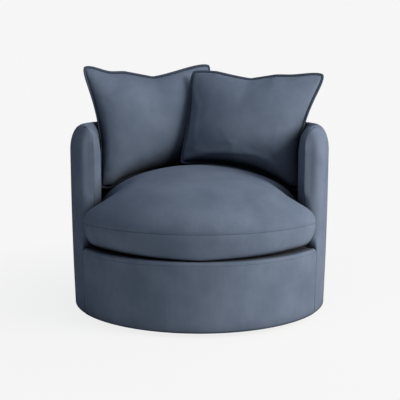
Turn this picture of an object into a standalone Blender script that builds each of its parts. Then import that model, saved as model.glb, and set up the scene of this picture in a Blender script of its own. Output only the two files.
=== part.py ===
"""Swivel accent chair: a round upholstered tub on a hidden turntable, with a loose
domed seat cushion and two loose scatter cushions.

Metres, +Z up. The origin is on the floor, on the axis that the tub turns about, and
the front faces -Y. Angles go round that axis from the back (+Y) towards the right
arm (+X), so the front is at 180 degrees.
"""

import math
from functools import partial

import bmesh
import bpy
import numpy as np
from mathutils import Vector

# Fits
CLEARANCE = 0.0003  # between pieces that touch
FOAM_EASE = 0.0012  # between the foam and the cover that is stretched over it
NOSE_EASE = 0.0015  # further ease round the arms' noses, where the cover twists into the drum
SOFT_CLEARANCE = 0.004  # between a loose cushion and the tub beside it
PILLOW_EASE = 0.0009  # between a scatter cushion and the seat cushion that it stands on
SEAM_GAP = 0.0008  # between two sewn panels of the cover

# The tub's outside
WALL_RADIUS = 0.4475  # of the outside, at the arms
FLARE = 0.007  # how much smaller the outside's radius is at the floor
FLARE_HEIGHT = 0.450  # where the outside stops widening
RIM_HEIGHT = 0.634  # of the arms and the back
RIM_RISE = 0.086  # height of the rounding along their top
ARM_ANGLE = 113.7  # where the arms' round noses are centred
JOIN_ANGLE = 120.0  # where the arms' cover meets the front band's
DRUM_BLEND = 0.040  # height in which the round nose grows out of the drum

# Soft layers of the tub
COVER = 0.0020
INNER_FOAM = 0.0216
FOAM_AT_HEM = 0.0040
PAD = 0.0220
HEM_TURN = 0.026  # width of the cover that is turned in under the drum

# Front band
BAND_CORNER = 0.016
BAND_ROLL = 0.009
BAND_LIP = 0.040  # depth of the padded edge in front of the deck
DUST_COVER = 0.0008
DUST_COVER_EASE = 0.020  # between the dust cover and the base that turns in its opening

# The cover's seam over the arm: up the inner front of the nose and along the top
SEAM_NOSE_ANGLE = 17.0
SEAM_START_DROP = 0.074  # from the rim to where the seam leaves the upright
SEAM_RIM_DROP = 0.012  # from the rim to the seam along the outside

# Frame
DECK_HEIGHT = 0.238
PLYWOOD = 0.018
RAIL_DEPTH = 0.040
PANEL = 0.003
SEAT_RING_WIDTH = 0.105
RIM_FOAM = 0.059  # foam over the top rail
POST_WIDTH = 0.050
LOWER_POST_ANGLES = (30.0, 86.0, 142.0)
UPPER_POST_ANGLES = (0.0, 36.0, 72.0, 108.0)
BEAM_WIDTH = 0.090
BEAM_HEIGHT = 0.028
BEAM_OFFSET = 0.105

# Seat springs
SPRING_COUNT = 5
SPRING_SPACING = 0.095
SPRING_WIDTH = 0.056
SPRING_PITCH = 0.036  # between two bars of a spring
WIRE_RADIUS = 0.0018
CLIP_PLATE = 0.0012
CLIP_WIDTH = 0.016
CLIP_TAIL = 0.007
CLIP_FLAP = 0.005
SPRING_SEAT = 0.010  # from the ring's inner edge to a spring's last bar

# Base and turntable
GLIDE_HEIGHT = 0.004
GLIDE_RADIUS = 0.0125
GLIDE_COUNT = 4
GLIDE_INSET = 0.025
BASE_RADIUS = 0.280
RACE_INNER_RADIUS = 0.1150
RACE_OUTER_RADIUS = 0.1540
RACE_THICKNESS = 0.0035
GROOVE_DEPTH = 0.0015
BALL_RADIUS = 0.0040
BALL_CIRCLE = 0.1330
BALL_COUNT = 16
CAGE_WIDTH = 0.0145
CAGE_THICKNESS = 0.0016

# Seat cushion
CUSHION_OVERHANG = 0.0075  # how far its front stands out past the arms' outside
CUSHION_DEPTH = 0.0857  # from its flat underside up to the seam
CUSHION_CROWN = 0.163  # from the seam up to its crown
CUSHION_FOOT_INSET = 0.058  # from the seam in to the flat underside, at the lobes
FRONT_FOOT_INSET = 0.018  # the same in the middle of the front, where it hangs over the band
FULL_INSET_TURN = 42.0  # how far from the middle of the front the inset has grown to that of the lobes
SQUEEZE_REACH = 0.120  # how far from an arm's nose the cushion is squeezed lower
LOBE_ANGLE = 124.2  # where the lobes in front of the arms are centred

# Scatter cushions
EDGE_SHARE = 0.90  # how far out the seat cushion's steep edge starts, as a share of its reach
PILLOW_HALF_THICKNESS = 0.078
PILLOW_BACK_SHARE = 0.80  # how much less the back swells than the front
CHOP_WIDTH = 0.45  # how much of half its width the chop in the upper edge reaches over
PIPING_RADIUS = 0.0032
LEFT_PILLOW = {  # "top" gives its upper corners, with their heights above the seat's crown
    "top": ((-0.412, 0.100, 0.339), (0.034, 0.306, 0.351)),
    "foot": ((-0.352, 0.030), (0.010, 0.300)),
    "swell": (0.38, -0.90, 0.22),
    "scoop": 0.020,  # how much the upper edge is drawn down between the corners
    "chop": 0.020,  # how much deeper the chop in it goes
    "chop_place": 0.0,  # where the chop is, -1 being the left corner and 1 the right
    "sides": (0.028, 0.012),  # how much its left and its right side are drawn in
}
RIGHT_PILLOW = {
    "top": ((-0.020, 0.190, 0.335), (0.436, 0.080, 0.321)),
    "foot": ((-0.065, 0.098), (0.352, 0.000)),
    "swell": (-0.30, -0.92, 0.25),
    "scoop": 0.010,
    "chop": 0.016,
    "chop_place": -1 / 6,
    "sides": (0.010, 0.033),
}

# Fineness of the faceting
WALL_STEPS = 28
FRONT_STEPS = 16
SPIN_STEPS = 32
PILLOW_STEPS = 12

# Sizes that follow
HEM_RADIUS = WALL_RADIUS - FLARE
TOP_RAIL_HEIGHT = RIM_HEIGHT - RIM_FOAM
SEAM_START_HEIGHT = RIM_HEIGHT - SEAM_START_DROP
SEAM_RIM_HEIGHT = RIM_HEIGHT - SEAM_RIM_DROP
CUSHION_RADIUS = WALL_RADIUS + CUSHION_OVERHANG
CUSHION_FOOT = DECK_HEIGHT + CLEARANCE
CUSHION_SEAM_HEIGHT = CUSHION_FOOT + CUSHION_DEPTH
CUSHION_CROWN_HEIGHT = CUSHION_SEAM_HEIGHT + CUSHION_CROWN
WALL_STEP = 2 * ARM_ANGLE / WALL_STEPS
FACET = math.cos(math.radians(WALL_STEP / 2))  # a facet's middle is this much nearer the axis
PANEL_OUTER = HEM_RADIUS - COVER - FOAM_EASE - FOAM_AT_HEM - CLEARANCE
RAIL_OUTER = PANEL_OUTER - PANEL - CLEARANCE
RAIL_INNER = RAIL_OUTER - RAIL_DEPTH
INNER_PANEL_OUTER = RAIL_INNER - CLEARANCE
INNER_PANEL_INNER = INNER_PANEL_OUTER - PANEL
WALL_INNER = INNER_PANEL_INNER - CLEARANCE - INNER_FOAM - FOAM_EASE - COVER
WALL_HALF = (WALL_RADIUS - WALL_INNER) / 2
WALL_MIDDLE = (WALL_RADIUS + WALL_INNER) / 2
RIM_SPRING = RIM_HEIGHT - RIM_RISE
RIM_ROWS = (0.0, 0.35, 0.62, 0.86, 0.96)  # heights of rows in the rim's rounding, as shares of it
DRUM_ROWS = [DECK_HEIGHT + DRUM_BLEND * share for share in (0.0, 0.25, 0.5, 0.75, 1.0)]
FOAM_DEPTH = COVER + FOAM_EASE

BASE_TOP = GLIDE_HEIGHT + CLEARANCE + PLYWOOD
LOWER_RACE_FOOT = BASE_TOP + CLEARANCE
LOWER_RACE_TOP = LOWER_RACE_FOOT + RACE_THICKNESS
BALL_HEIGHT = LOWER_RACE_TOP - GROOVE_DEPTH + CLEARANCE + BALL_RADIUS
UPPER_RACE_FOOT = BALL_HEIGHT + BALL_RADIUS + CLEARANCE - GROOVE_DEPTH
BEAM_FOOT = UPPER_RACE_FOOT + RACE_THICKNESS + CLEARANCE
BOTTOM_RING_TOP = BEAM_FOOT - CLEARANCE
BOTTOM_RING_FOOT = BOTTOM_RING_TOP - PLYWOOD
HEM_HEIGHT = BOTTOM_RING_FOOT - CLEARANCE - COVER
PAD_TOP = DECK_HEIGHT - COVER - CLEARANCE
SPRING_HEIGHT = PAD_TOP - PAD - 2 * CLEARANCE - CLIP_PLATE - WIRE_RADIUS
SEAT_RING_TOP = SPRING_HEIGHT - WIRE_RADIUS - 2 * CLEARANCE - CLIP_PLATE
SEAT_RING_INNER = RAIL_OUTER - SEAT_RING_WIDTH
WALL_FOOT = SEAT_RING_TOP + CLEARANCE
BAND_LIP_RADIUS = WALL_RADIUS - BAND_LIP


def linear(hex_colour):
    """The colour #RRGGBB as linear red, green, blue and alpha."""
    channels = [int(hex_colour[i : i + 2], 16) / 255 for i in (1, 3, 5)]
    return [c / 12.92 if c <= 0.04045 else ((c + 0.055) / 1.055) ** 2.4 for c in channels] + [1.0]


def material(name, hex_colour, roughness, metallic=0.0):
    made = bpy.data.materials.new(name)
    made.use_nodes = True
    surface = made.node_tree.nodes["Principled BSDF"]
    surface.inputs["Base Color"].default_value = linear(hex_colour)
    surface.inputs["Roughness"].default_value = roughness
    surface.inputs["Metallic"].default_value = metallic
    made.diffuse_color = linear(hex_colour)
    return made


def empty(name, location, parent=None):
    """A helper that carries what moves with it, standing on the axis of that movement."""
    made = bpy.data.objects.new(name, None)
    bpy.context.scene.collection.objects.link(made)
    made.parent = parent
    made.location = location
    return made


def add_object(name, data, surface, parent):
    made = bpy.data.objects.new(name, data)
    bpy.context.scene.collection.objects.link(made)
    data.materials.append(surface)
    made.parent = parent
    return made


def mesh_object(name, points, faces, surface, parent, sharp_angle=40.0):
    """A closed mesh from its points and faces, with its faces turned outwards."""
    data = bpy.data.meshes.new(name)
    data.from_pydata([tuple(p) for p in points], [], faces)
    form = bmesh.new()
    form.from_mesh(data)
    bmesh.ops.remove_doubles(form, verts=form.verts, dist=1e-6)
    bmesh.ops.dissolve_degenerate(form, edges=form.edges, dist=1e-7)
    bmesh.ops.recalc_face_normals(form, faces=form.faces)
    if form.calc_volume(signed=True) < 0:
        bmesh.ops.reverse_faces(form, faces=form.faces)
    form.to_mesh(data)
    form.free()
    data.shade_smooth()
    data.set_sharp_from_angle(angle=math.radians(sharp_angle))
    return add_object(name, data, surface, parent)


def combine(target, other, operation):
    """Cuts the shape of the other object from the target, or adds it, and hides the other."""
    other.hide_render = True
    other.display_type = "WIRE"
    boolean = target.modifiers.new(operation.lower(), "BOOLEAN")
    boolean.object = other
    boolean.operation = operation
    boolean.solver = "EXACT"


def polar(radius, angle, height=0.0):
    turn = math.radians(angle)
    return Vector((radius * math.sin(turn), radius * math.cos(turn), height))


def circle_places(count, radius, height, first=0.0):
    return [polar(radius, first + 360 * k / count, height) for k in range(count)]


def wall_angles(end=ARM_ANGLE):
    return list(np.linspace(-end, end, WALL_STEPS + 1))


def front_angles():
    return list(np.linspace(JOIN_ANGLE, 360 - JOIN_ANGLE, FRONT_STEPS + 1))


def ring_angles():
    """Once round the drum, with facets in line with those of the wall and of the front band."""
    return wall_angles() + front_angles()


def turned(name, section, angles, surface, parent, closed=True):
    """The (radius, height) points of a section, carried round the axis from angle to angle."""
    points = [polar(r, angle, z) for angle in angles for r, z in section]
    n = len(section)
    stops = len(angles)
    faces = []
    for i in range(stops if closed else stops - 1):
        here = i * n
        there = (i + 1) % stops * n
        for k in range(n):
            after = (k + 1) % n
            faces.append((here + k, here + after, there + after, there + k))
    if not closed:
        faces.append(tuple(range(n)))
        faces.append(tuple(range((stops - 1) * n, stops * n)))
    return mesh_object(name, points, faces, surface, parent)


def rectangle(inner, outer, low, high):
    return [(inner, low), (outer, low), (outer, high), (inner, high)]


def full_turn(count):
    return [360 * k / count for k in range(count)]


def lofted(name, sections, surface, parent):
    """A solid through closed sections that all have the same number of points."""
    n = len(sections[0])
    points = [p for section in sections for p in section]
    faces = [tuple(range(n)), tuple(range(len(points) - n, len(points)))]
    for i in range(len(sections) - 1):
        for k in range(n):
            after = (k + 1) % n
            faces.append((i * n + k, i * n + after, (i + 1) * n + after, (i + 1) * n + k))
    return mesh_object(name, points, faces, surface, parent)


def prism(name, outline, low, high, surface, parent):
    """An outline of (x, y) points, carried straight up."""
    sections = [[Vector((p[0], p[1], z)) for p in outline] for z in (low, high)]
    return lofted(name, sections, surface, parent)


def block(name, size, location, turn, surface, parent):
    """A squared timber of the given size, centred on its location and turned about Z."""
    form = bmesh.new()
    bmesh.ops.create_cube(form, size=1.0)
    bmesh.ops.scale(form, vec=size, verts=form.verts)
    data = bpy.data.meshes.new(name)
    form.to_mesh(data)
    form.free()
    made = add_object(name, data, surface, parent)
    made.location = location
    made.rotation_euler = (0, 0, math.radians(turn))
    return made


def outside_radius(height):
    """The drum widens a little from the hem up."""
    below = max(0.0, (FLARE_HEIGHT - height) / (FLARE_HEIGHT - HEM_HEIGHT))
    return WALL_RADIUS - (WALL_RADIUS - HEM_RADIUS) * below**2


def half_thickness(height, depth):
    """Half the wall's thickness, measured at this depth under its cover. Its top is rounded."""
    up = max(0.0, (height - RIM_SPRING) / (RIM_RISE - depth))
    return (WALL_HALF - depth) * math.sqrt(max(0.0, 1 - up**2))


def outer_wall_point(angle, height, depth):
    inset = WALL_RADIUS - outside_radius(height)
    return polar(WALL_MIDDLE + half_thickness(height, depth) - inset, angle, height)


def inner_wall_point(angle, height, depth):
    return polar(WALL_MIDDLE - half_thickness(height, depth), angle, height)


def nose_point(side, turn, height, depth):
    """A point on the arm's nose. turn goes from -90 at the outside over 0 at the front to 90
    at the inside. Low down, the nose fills out into the drum's corner."""
    arm = side * ARM_ANGLE
    join = side * (JOIN_ANGLE - math.degrees(depth / WALL_RADIUS))
    half = half_thickness(height, depth)
    radial = polar(1, arm)
    forward = polar(1, arm + side * 90)
    lean = math.radians(turn)
    inset = (WALL_RADIUS - outside_radius(height)) * max(0.0, -math.sin(lean))
    middle = polar(WALL_MIDDLE - inset, arm, height)
    round_nose = middle + half * (forward * math.cos(lean) - radial * math.sin(lean))
    rise = min(1.0, max(0.0, (height - DECK_HEIGHT) / DRUM_BLEND))
    drum_share = 1 - rise * rise * (3 - 2 * rise)
    outside = outside_radius(height) - depth
    if turn <= -45:
        corner = polar(outside, arm + (join - arm) * (turn + 90) / 45, height)
    else:
        share = min(1.0, (turn + 45) / 45)
        radius = outside + (WALL_MIDDLE - outside) * share - half * max(0.0, math.sin(lean))
        corner = polar(radius, join, height)
    return round_nose.lerp(corner, drum_share)


def seam_height(turn):
    """The height of the seam over the nose: it arches from the inner front to the outer top."""
    across = (SEAM_NOSE_ANGLE - turn) / (SEAM_NOSE_ANGLE + 90)
    share = math.sqrt(max(0.0, 1 - (1 - min(1.0, max(0.0, across))) ** 2))
    return SEAM_START_HEIGHT + (SEAM_RIM_HEIGHT - SEAM_START_HEIGHT) * share


class Sheet:
    """A sewn panel: points of its outer face, the same points under its thickness, and faces."""

    def __init__(self):
        self.keys = {}
        self.outer = []
        self.inner = []
        self.faces = []

    def point(self, key, outer, inner):
        if key not in self.keys:
            self.keys[key] = len(self.outer)
            self.outer.append(outer)
            self.inner.append(inner)
        return self.keys[key]

    def over_columns(self, columns):
        """Joins each column of points to the next by faces, from the top as far down as both go."""
        for near, far in zip(columns, columns[1:]):
            shared = min(len(near), len(far))
            near, far = near[-shared:], far[-shared:]
            for k in range(shared - 1):
                corners = [near[k], near[k + 1], far[k + 1], far[k]]
                face = [c for i, c in enumerate(corners) if c != corners[i - 1]]
                if len(face) > 2:
                    self.faces.append(face)

    def solid(self, name, surface, parent):
        """The panel as a closed body, with a strip along each free edge."""
        n = len(self.outer)
        ways = {(face[i - 1], face[i]) for face in self.faces for i in range(len(face))}
        free = sorted((a, b) for a, b in ways if (b, a) not in ways)
        faces = list(self.faces)
        faces += [[n + i for i in reversed(face)] for face in self.faces]
        faces += [[b, a, n + a, n + b] for a, b in free]
        return mesh_object(name, self.outer + self.inner, faces, surface, parent)


def skin(place, height):
    """The point of the cover's outer face at this height, and the one under its thickness."""
    sunk = height - COVER * max(0.0, (height - RIM_SPRING) / RIM_RISE)
    return place(height, 0.0), place(sunk, COVER)


def outer_column(sheet, key, place, top, from_hem):
    """One column of the outer cover, from the hem or the seat ring up to the seam."""
    middle = (HEM_HEIGHT + WALL_FOOT) / 2
    heights = [HEM_HEIGHT, middle] if from_hem else []
    heights += [WALL_FOOT] + DRUM_ROWS + [FLARE_HEIGHT]
    rounding = [row / RIM_ROWS[3] for row in RIM_ROWS[:4]]
    heights += [RIM_SPRING + (top - RIM_SPRING) * share for share in rounding]
    made = []
    for height in heights:
        over, under = skin(place, height)
        if height == HEM_HEIGHT:
            under.z += COVER
            tucked = over * (1 - HEM_TURN / HEM_RADIUS)
            tucked.z = HEM_HEIGHT
            made.append(sheet.point((key, "turned in"), tucked, tucked + Vector((0, 0, COVER))))
        made.append(sheet.point((key, height), over, under))
    return made


def seam_turns():
    """Where the outer cover's columns stand on a nose, from the outside to the seam in front."""
    end = SEAM_NOSE_ANGLE - math.degrees(SEAM_GAP / 2 / WALL_HALF)
    return (-67.5, -45.0, -22.5, 0.0, end / 2, end)


def outer_cover(surface, parent):
    """The cover of the outside and of the front of both noses, turned in under the drum."""
    sheet = Sheet()
    noses = {-1: [], 1: []}
    for side, columns in noses.items():
        for turn in seam_turns():
            top = seam_height(turn) - SEAM_GAP / 2
            place = partial(nose_point, side, turn)
            columns.append(outer_column(sheet, (side, turn), place, top, turn <= -45))
    top = SEAM_RIM_HEIGHT - SEAM_GAP / 2
    walls = []
    for angle in wall_angles():
        place = partial(outer_wall_point, angle)
        walls.append(outer_column(sheet, angle, place, top, True))
    sheet.over_columns(noses[-1][::-1] + walls + noses[1])
    return sheet.solid("outer_cover", surface, parent)


def upper_column(sheet, key, place, start, from_foot):
    """One column of the inner cover, from its foot or from the seam to just under the ridge."""
    heights = [start + (RIM_HEIGHT - start) * share for share in RIM_ROWS]
    if from_foot:
        heights = [WALL_FOOT] + DRUM_ROWS + [FLARE_HEIGHT] + heights
    return [sheet.point((key, height), *skin(place, height)) for height in heights]


def inner_cover(surface, parent):
    """The cover of the inside and of the top, down to the seam outside and on the noses."""
    sheet = Sheet()
    past_seam = SEAM_NOSE_ANGLE + math.degrees(SEAM_GAP / 2 / WALL_HALF)
    seam_top = SEAM_RIM_HEIGHT + SEAM_GAP / 2
    walls = []
    falls = []
    for angle in wall_angles():
        inside = partial(inner_wall_point, angle)
        outside = partial(outer_wall_point, angle)
        over = polar(WALL_MIDDLE, angle, RIM_HEIGHT)
        tip = [sheet.point(("ridge", angle), over, over - Vector((0, 0, COVER)))]
        walls.append(upper_column(sheet, ("inside", angle), inside, RIM_SPRING, True) + tip)
        falls.append(upper_column(sheet, ("outside", angle), outside, seam_top, False) + tip)
    sheet.over_columns(walls)
    sheet.over_columns(falls[::-1])
    for side in (-1, 1):
        end = 0 if side < 0 else -1
        tip = walls[end][-1:]
        fan = [walls[end]]
        for turn in (67.5, 45.0, past_seam):
            place = partial(nose_point, side, turn)
            fan.append(upper_column(sheet, (side, turn), place, RIM_SPRING, True) + tip)
        for turn in reversed(seam_turns()):
            place = partial(nose_point, side, turn)
            start = seam_height(turn) + SEAM_GAP / 2
            fan.append(upper_column(sheet, (side, turn), place, start, False) + tip)
        fan.append(falls[end])
        sheet.over_columns(fan[::side])
    return sheet.solid("inner_cover", surface, parent)


def wall_block(name, surface, parent):
    """The padded wall as one solid, under the cover: its outline at each height, stacked."""
    rows = [BOTTOM_RING_FOOT, (BOTTOM_RING_FOOT + WALL_FOOT) / 2, WALL_FOOT]
    rows += DRUM_ROWS + [FLARE_HEIGHT]
    rows += [RIM_SPRING + (RIM_RISE - FOAM_DEPTH) * share for share in RIM_ROWS]
    turns = seam_turns() + (45.0, 67.5)
    nose_depth = FOAM_DEPTH + NOSE_EASE
    sections = []
    for height in rows:
        left = [nose_point(-1, turn, height, nose_depth) for turn in reversed(turns)]
        outside = [outer_wall_point(angle, height, FOAM_DEPTH) for angle in wall_angles()]
        right = [nose_point(1, turn, height, nose_depth) for turn in turns]
        inside = [inner_wall_point(angle, height, FOAM_DEPTH) for angle in reversed(wall_angles())]
        sections.append(left + outside + right + inside)
    return lofted(name, sections, surface, parent)


def wall_foam(surface, parent):
    """The foam that hangs over the frame, with the frame's space cut out from below."""
    foam = wall_block("wall_foam", surface, parent)
    inner = INNER_PANEL_INNER - CLEARANCE
    outer = PANEL_OUTER + CLEARANCE
    hollow = rectangle(inner, outer, 0.0, TOP_RAIL_HEIGHT + CLEARANCE)
    angles = wall_angles()
    ease = math.degrees(CLEARANCE / inner)
    angles[0] -= ease
    angles[-1] += ease
    frame_space = turned("frame_space", hollow, angles, surface, parent, closed=False)
    combine(foam, frame_space, "DIFFERENCE")
    drum = [polar(outer, angle) for angle in ring_angles()]
    combine(foam, prism("drum_space", drum, 0.0, WALL_FOOT, surface, parent), "DIFFERENCE")
    return foam


def band_columns():
    """Angles along the front band, closer at its rounded corners, each with its top's drop."""
    length = math.radians(180 - JOIN_ANGLE) * WALL_RADIUS - SEAM_GAP
    reach = math.degrees(length / WALL_RADIUS)
    even = [reach * (2 * k / FRONT_STEPS - 1) for k in range(FRONT_STEPS + 1)]
    corner = math.degrees(BAND_CORNER / WALL_RADIUS)
    near = [reach - corner * share for share in (0.12, 0.45, 1.0)]
    columns = []
    for offset in sorted(even + near + [-x for x in near]):
        to_end = math.radians(reach - abs(offset)) * WALL_RADIUS
        short = max(0.0, BAND_CORNER - to_end)
        drop = BAND_CORNER - math.sqrt(BAND_CORNER**2 - short**2)
        columns.append((180 + offset, drop))
    return columns


def band_path(depth, foot, top):
    """The front band's outside in section, at this depth under its face: hem to padded edge."""
    spring = top - BAND_ROLL
    face = [(outside_radius(z) - depth, z) for z in (foot, (foot + spring) / 2, spring)]
    middle = outside_radius(spring) - BAND_ROLL
    roll = BAND_ROLL - depth
    bends = [math.radians(a) for a in (30, 60, 90)]
    face += [(middle + roll * math.cos(a), spring + roll * math.sin(a)) for a in bends]
    return face + [(BAND_LIP_RADIUS, top - depth)]


def band(name, section, surface, parent):
    """The front band's solid, where section(top) gives its section below this height."""
    stops = []
    for angle, drop in band_columns():
        stops.append([polar(r, angle, z) for r, z in section(DECK_HEIGHT - drop)])
    return lofted(name, stops, surface, parent)


def band_cover(surface, parent):
    def section(top):
        turned_in = HEM_RADIUS - HEM_TURN
        over = [(turned_in, HEM_HEIGHT)] + band_path(0.0, HEM_HEIGHT, top)
        under = band_path(COVER, HEM_HEIGHT + COVER, top)
        return over + under[::-1] + [(turned_in, HEM_HEIGHT + COVER)]

    return band("band_cover", section, surface, parent)


def band_foam(surface, parent):
    def section(top):
        back = PANEL_OUTER + CLEARANCE
        over = band_path(FOAM_DEPTH, BOTTOM_RING_FOOT, top)
        behind = [(BAND_LIP_RADIUS, WALL_FOOT), (back, WALL_FOOT), (back, BOTTOM_RING_FOOT)]
        return over + behind

    return band("band_foam", section, surface, parent)


def deck_outline():
    """The deck's outline: round inside the tub, and wider in front between the arms."""
    inside = [polar(WALL_INNER - CLEARANCE, angle) for angle in wall_angles()]
    start = JOIN_ANGLE + math.degrees(SEAM_GAP / WALL_INNER)
    step = polar(WALL_INNER - CLEARANCE, start)
    last = polar(WALL_INNER - CLEARANCE, -start)
    front = []
    for angle in np.linspace(start, 360 - start, FRONT_STEPS + 1):
        front.append(polar(BAND_LIP_RADIUS - CLEARANCE, angle))
    return inside + [step] + front + [last]


def rod(form, radius, low, high, segments=16):
    """Adds an upright cylinder between two heights."""
    made = bmesh.ops.create_cone(
        form, segments=segments, radius1=radius, radius2=radius, depth=high - low, cap_ends=True
    )["verts"]
    bmesh.ops.translate(form, verts=made, vec=(0, 0, (low + high) / 2))


def small_piece(name, shape, place, surface, parent):
    """A small piece that shape(form) adds at the origin, set at its place."""
    form = bmesh.new()
    shape(form)
    data = bpy.data.meshes.new(name)
    form.to_mesh(data)
    form.free()
    data.shade_smooth()
    data.set_sharp_from_angle(angle=math.radians(40))
    made = add_object(name, data, surface, parent)
    made.location = place
    return made


def race_section(foot, groove_up):
    """A turntable race in section, with the balls' groove in its upper or its lower face."""
    floor_half = BALL_RADIUS * 0.4
    mouth_half = BALL_RADIUS
    inner, outer, top = RACE_INNER_RADIUS, RACE_OUTER_RADIUS, foot + RACE_THICKNESS
    if groove_up:
        plain, grooved, floor = foot, top, top - GROOVE_DEPTH
    else:
        plain, grooved, floor = top, foot, foot + GROOVE_DEPTH
    return [
        (inner, plain),
        (outer, plain),
        (outer, grooved),
        (BALL_CIRCLE + mouth_half, grooved),
        (BALL_CIRCLE + floor_half, floor),
        (BALL_CIRCLE - floor_half, floor),
        (BALL_CIRCLE - mouth_half, grooved),
        (inner, grooved),
    ]


def base_and_turntable(surfaces, base, cage, tub):
    """The board on its glides, and the ball turntable between it and the tub's beams."""
    wood, steel = surfaces["plywood"], surfaces["steel"]
    glide = partial(rod, radius=GLIDE_RADIUS, low=0.0, high=GLIDE_HEIGHT)
    feet = circle_places(GLIDE_COUNT, BASE_RADIUS - GLIDE_INSET, 0.0, 180 / GLIDE_COUNT)
    for number, place in enumerate(feet, 1):
        small_piece(f"glide_{number}", glide, place, surfaces["felt"], base)
    rim = circle_places(SPIN_STEPS, BASE_RADIUS, 0.0)
    prism("base_board", rim, GLIDE_HEIGHT + CLEARANCE, BASE_TOP, wood, base)
    spin = full_turn(SPIN_STEPS)
    turned("lower_race", race_section(LOWER_RACE_FOOT, True), spin, steel, base)
    turned("upper_race", race_section(UPPER_RACE_FOOT, False), spin, steel, tub)
    ball_cage(surfaces["brass"], cage)


def ball_cage(surface, cage):
    """The turntable's balls in their cage, as one piece: a flat ring with a ball in each pocket."""
    inner, outer = BALL_CIRCLE - CAGE_WIDTH / 2, BALL_CIRCLE + CAGE_WIDTH / 2
    low, high = BALL_HEIGHT - CAGE_THICKNESS / 2, BALL_HEIGHT + CAGE_THICKNESS / 2
    ring = turned("ball_cage", rectangle(inner, outer, low, high), full_turn(SPIN_STEPS), surface, cage)
    form = bmesh.new()
    for place in circle_places(BALL_COUNT, BALL_CIRCLE, BALL_HEIGHT):
        ball = bmesh.ops.create_uvsphere(form, u_segments=8, v_segments=5, radius=BALL_RADIUS)
        bmesh.ops.translate(form, verts=ball["verts"], vec=place)
    data = bpy.data.meshes.new("balls")
    form.to_mesh(data)
    form.free()
    balls = add_object("balls", data, surface, cage)
    combine(ring, balls, "UNION")


def beams(surface, tub):
    """Two beams across the bottom ring, which rest on the turntable's upper race."""
    outer_edge = BEAM_OFFSET + BEAM_WIDTH / 2
    length = 2 * (math.sqrt((RAIL_OUTER * FACET) ** 2 - outer_edge**2) - CLEARANCE)
    for side, word in ((-1, "left"), (1, "right")):
        place = (side * BEAM_OFFSET, 0, BEAM_FOOT + BEAM_HEIGHT / 2)
        block("beam_" + word, (BEAM_WIDTH, length, BEAM_HEIGHT), place, 0, surface, tub)


def post_place(angle, low, high):
    """Where a post stands between two heights, clear of the curved panel outside it."""
    face = math.sqrt((RAIL_OUTER * FACET) ** 2 - (POST_WIDTH / 2) ** 2) - CLEARANCE
    return polar(face - post_depth() / 2, angle, (low + high) / 2)


def post_depth():
    """A post's radial size, between the inner panel and the facets of the outer one."""
    face = math.sqrt((RAIL_OUTER * FACET) ** 2 - (POST_WIDTH / 2) ** 2) - CLEARANCE
    return face - RAIL_INNER


def frame(surfaces, tub):
    """Plywood rings and posts, with thin curved panels on them."""
    wood, board = surfaces["plywood"], surfaces["hardboard"]
    beams(surfaces["pine"], tub)
    bottom = rectangle(RAIL_INNER, RAIL_OUTER, BOTTOM_RING_FOOT, BOTTOM_RING_TOP)
    turned("bottom_ring", bottom, ring_angles(), wood, tub)
    seat = rectangle(SEAT_RING_INNER, RAIL_OUTER, SEAT_RING_TOP - PLYWOOD, SEAT_RING_TOP)
    turned("seat_ring", seat, ring_angles(), wood, tub)
    rail = rectangle(RAIL_INNER, RAIL_OUTER, TOP_RAIL_HEIGHT - PLYWOOD, TOP_RAIL_HEIGHT)
    turned("top_rail", rail, wall_angles(), wood, tub, closed=False)

    drum = rectangle(RAIL_OUTER + CLEARANCE, PANEL_OUTER, BOTTOM_RING_FOOT, SEAT_RING_TOP)
    turned("drum_panel", drum, ring_angles(), board, tub)
    outer = rectangle(RAIL_OUTER + CLEARANCE, PANEL_OUTER, WALL_FOOT, TOP_RAIL_HEIGHT)
    turned("outer_panel", outer, wall_angles(), board, tub, closed=False)
    inner = rectangle(INNER_PANEL_INNER, INNER_PANEL_OUTER, WALL_FOOT, TOP_RAIL_HEIGHT)
    turned("inner_panel", inner, wall_angles(), board, tub, closed=False)

    lower = (BOTTOM_RING_TOP + CLEARANCE, SEAT_RING_TOP - PLYWOOD - CLEARANCE)
    upper = (WALL_FOOT, TOP_RAIL_HEIGHT - PLYWOOD - CLEARANCE)
    for word, angles, (low, high) in (
        ("lower", LOWER_POST_ANGLES, lower),
        ("upper", UPPER_POST_ANGLES, upper),
    ):
        all_angles = sorted({side * angle for angle in angles for side in (-1, 1)})
        for number, angle in enumerate(all_angles, 1):
            size = (POST_WIDTH, post_depth(), high - low)
            name = f"{word}_post_{number}"
            block(name, size, post_place(angle, low, high), -angle, surfaces["pine"], tub)


def spring_half_length(offset):
    """From the middle of the seat to the last bar of the spring at this distance to the side."""
    return math.sqrt((SEAT_RING_INNER + SPRING_SEAT) ** 2 - offset**2)


def spring_path(offset):
    """A zigzag spring's route: straight bars joined by round bends."""
    reach = spring_half_length(offset)
    gaps = 2 * round(reach / SPRING_PITCH)
    pitch = 2 * reach / gaps
    straight = SPRING_WIDTH / 2 - pitch / 2
    route = []
    for bar in range(gaps + 1):
        side = 1 if bar % 2 else -1
        y = pitch * bar - reach
        route.append((-side * straight, y))
        route.append((side * straight, y))
        if bar < gaps:
            for bend in (-30, 30):
                lean = math.radians(bend)
                across = straight + pitch / 2 * math.cos(lean)
                route.append((side * across, y + pitch / 2 * (1 + math.sin(lean))))
    return [(offset + x, y, SPRING_HEIGHT) for x, y in route]


def wire(name, route, radius, surface, parent, cyclic=False, roundness=0):
    """A round wire or cord along a route."""
    data = bpy.data.curves.new(name, "CURVE")
    data.dimensions = "3D"
    data.bevel_depth = radius
    data.bevel_resolution = roundness
    data.use_fill_caps = True
    line = data.splines.new("POLY")
    line.points.add(len(route) - 1)
    for point, place in zip(line.points, route):
        point.co = (*place, 1.0)
    line.use_cyclic_u = cyclic
    return add_object(name, data, surface, parent)


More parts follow.
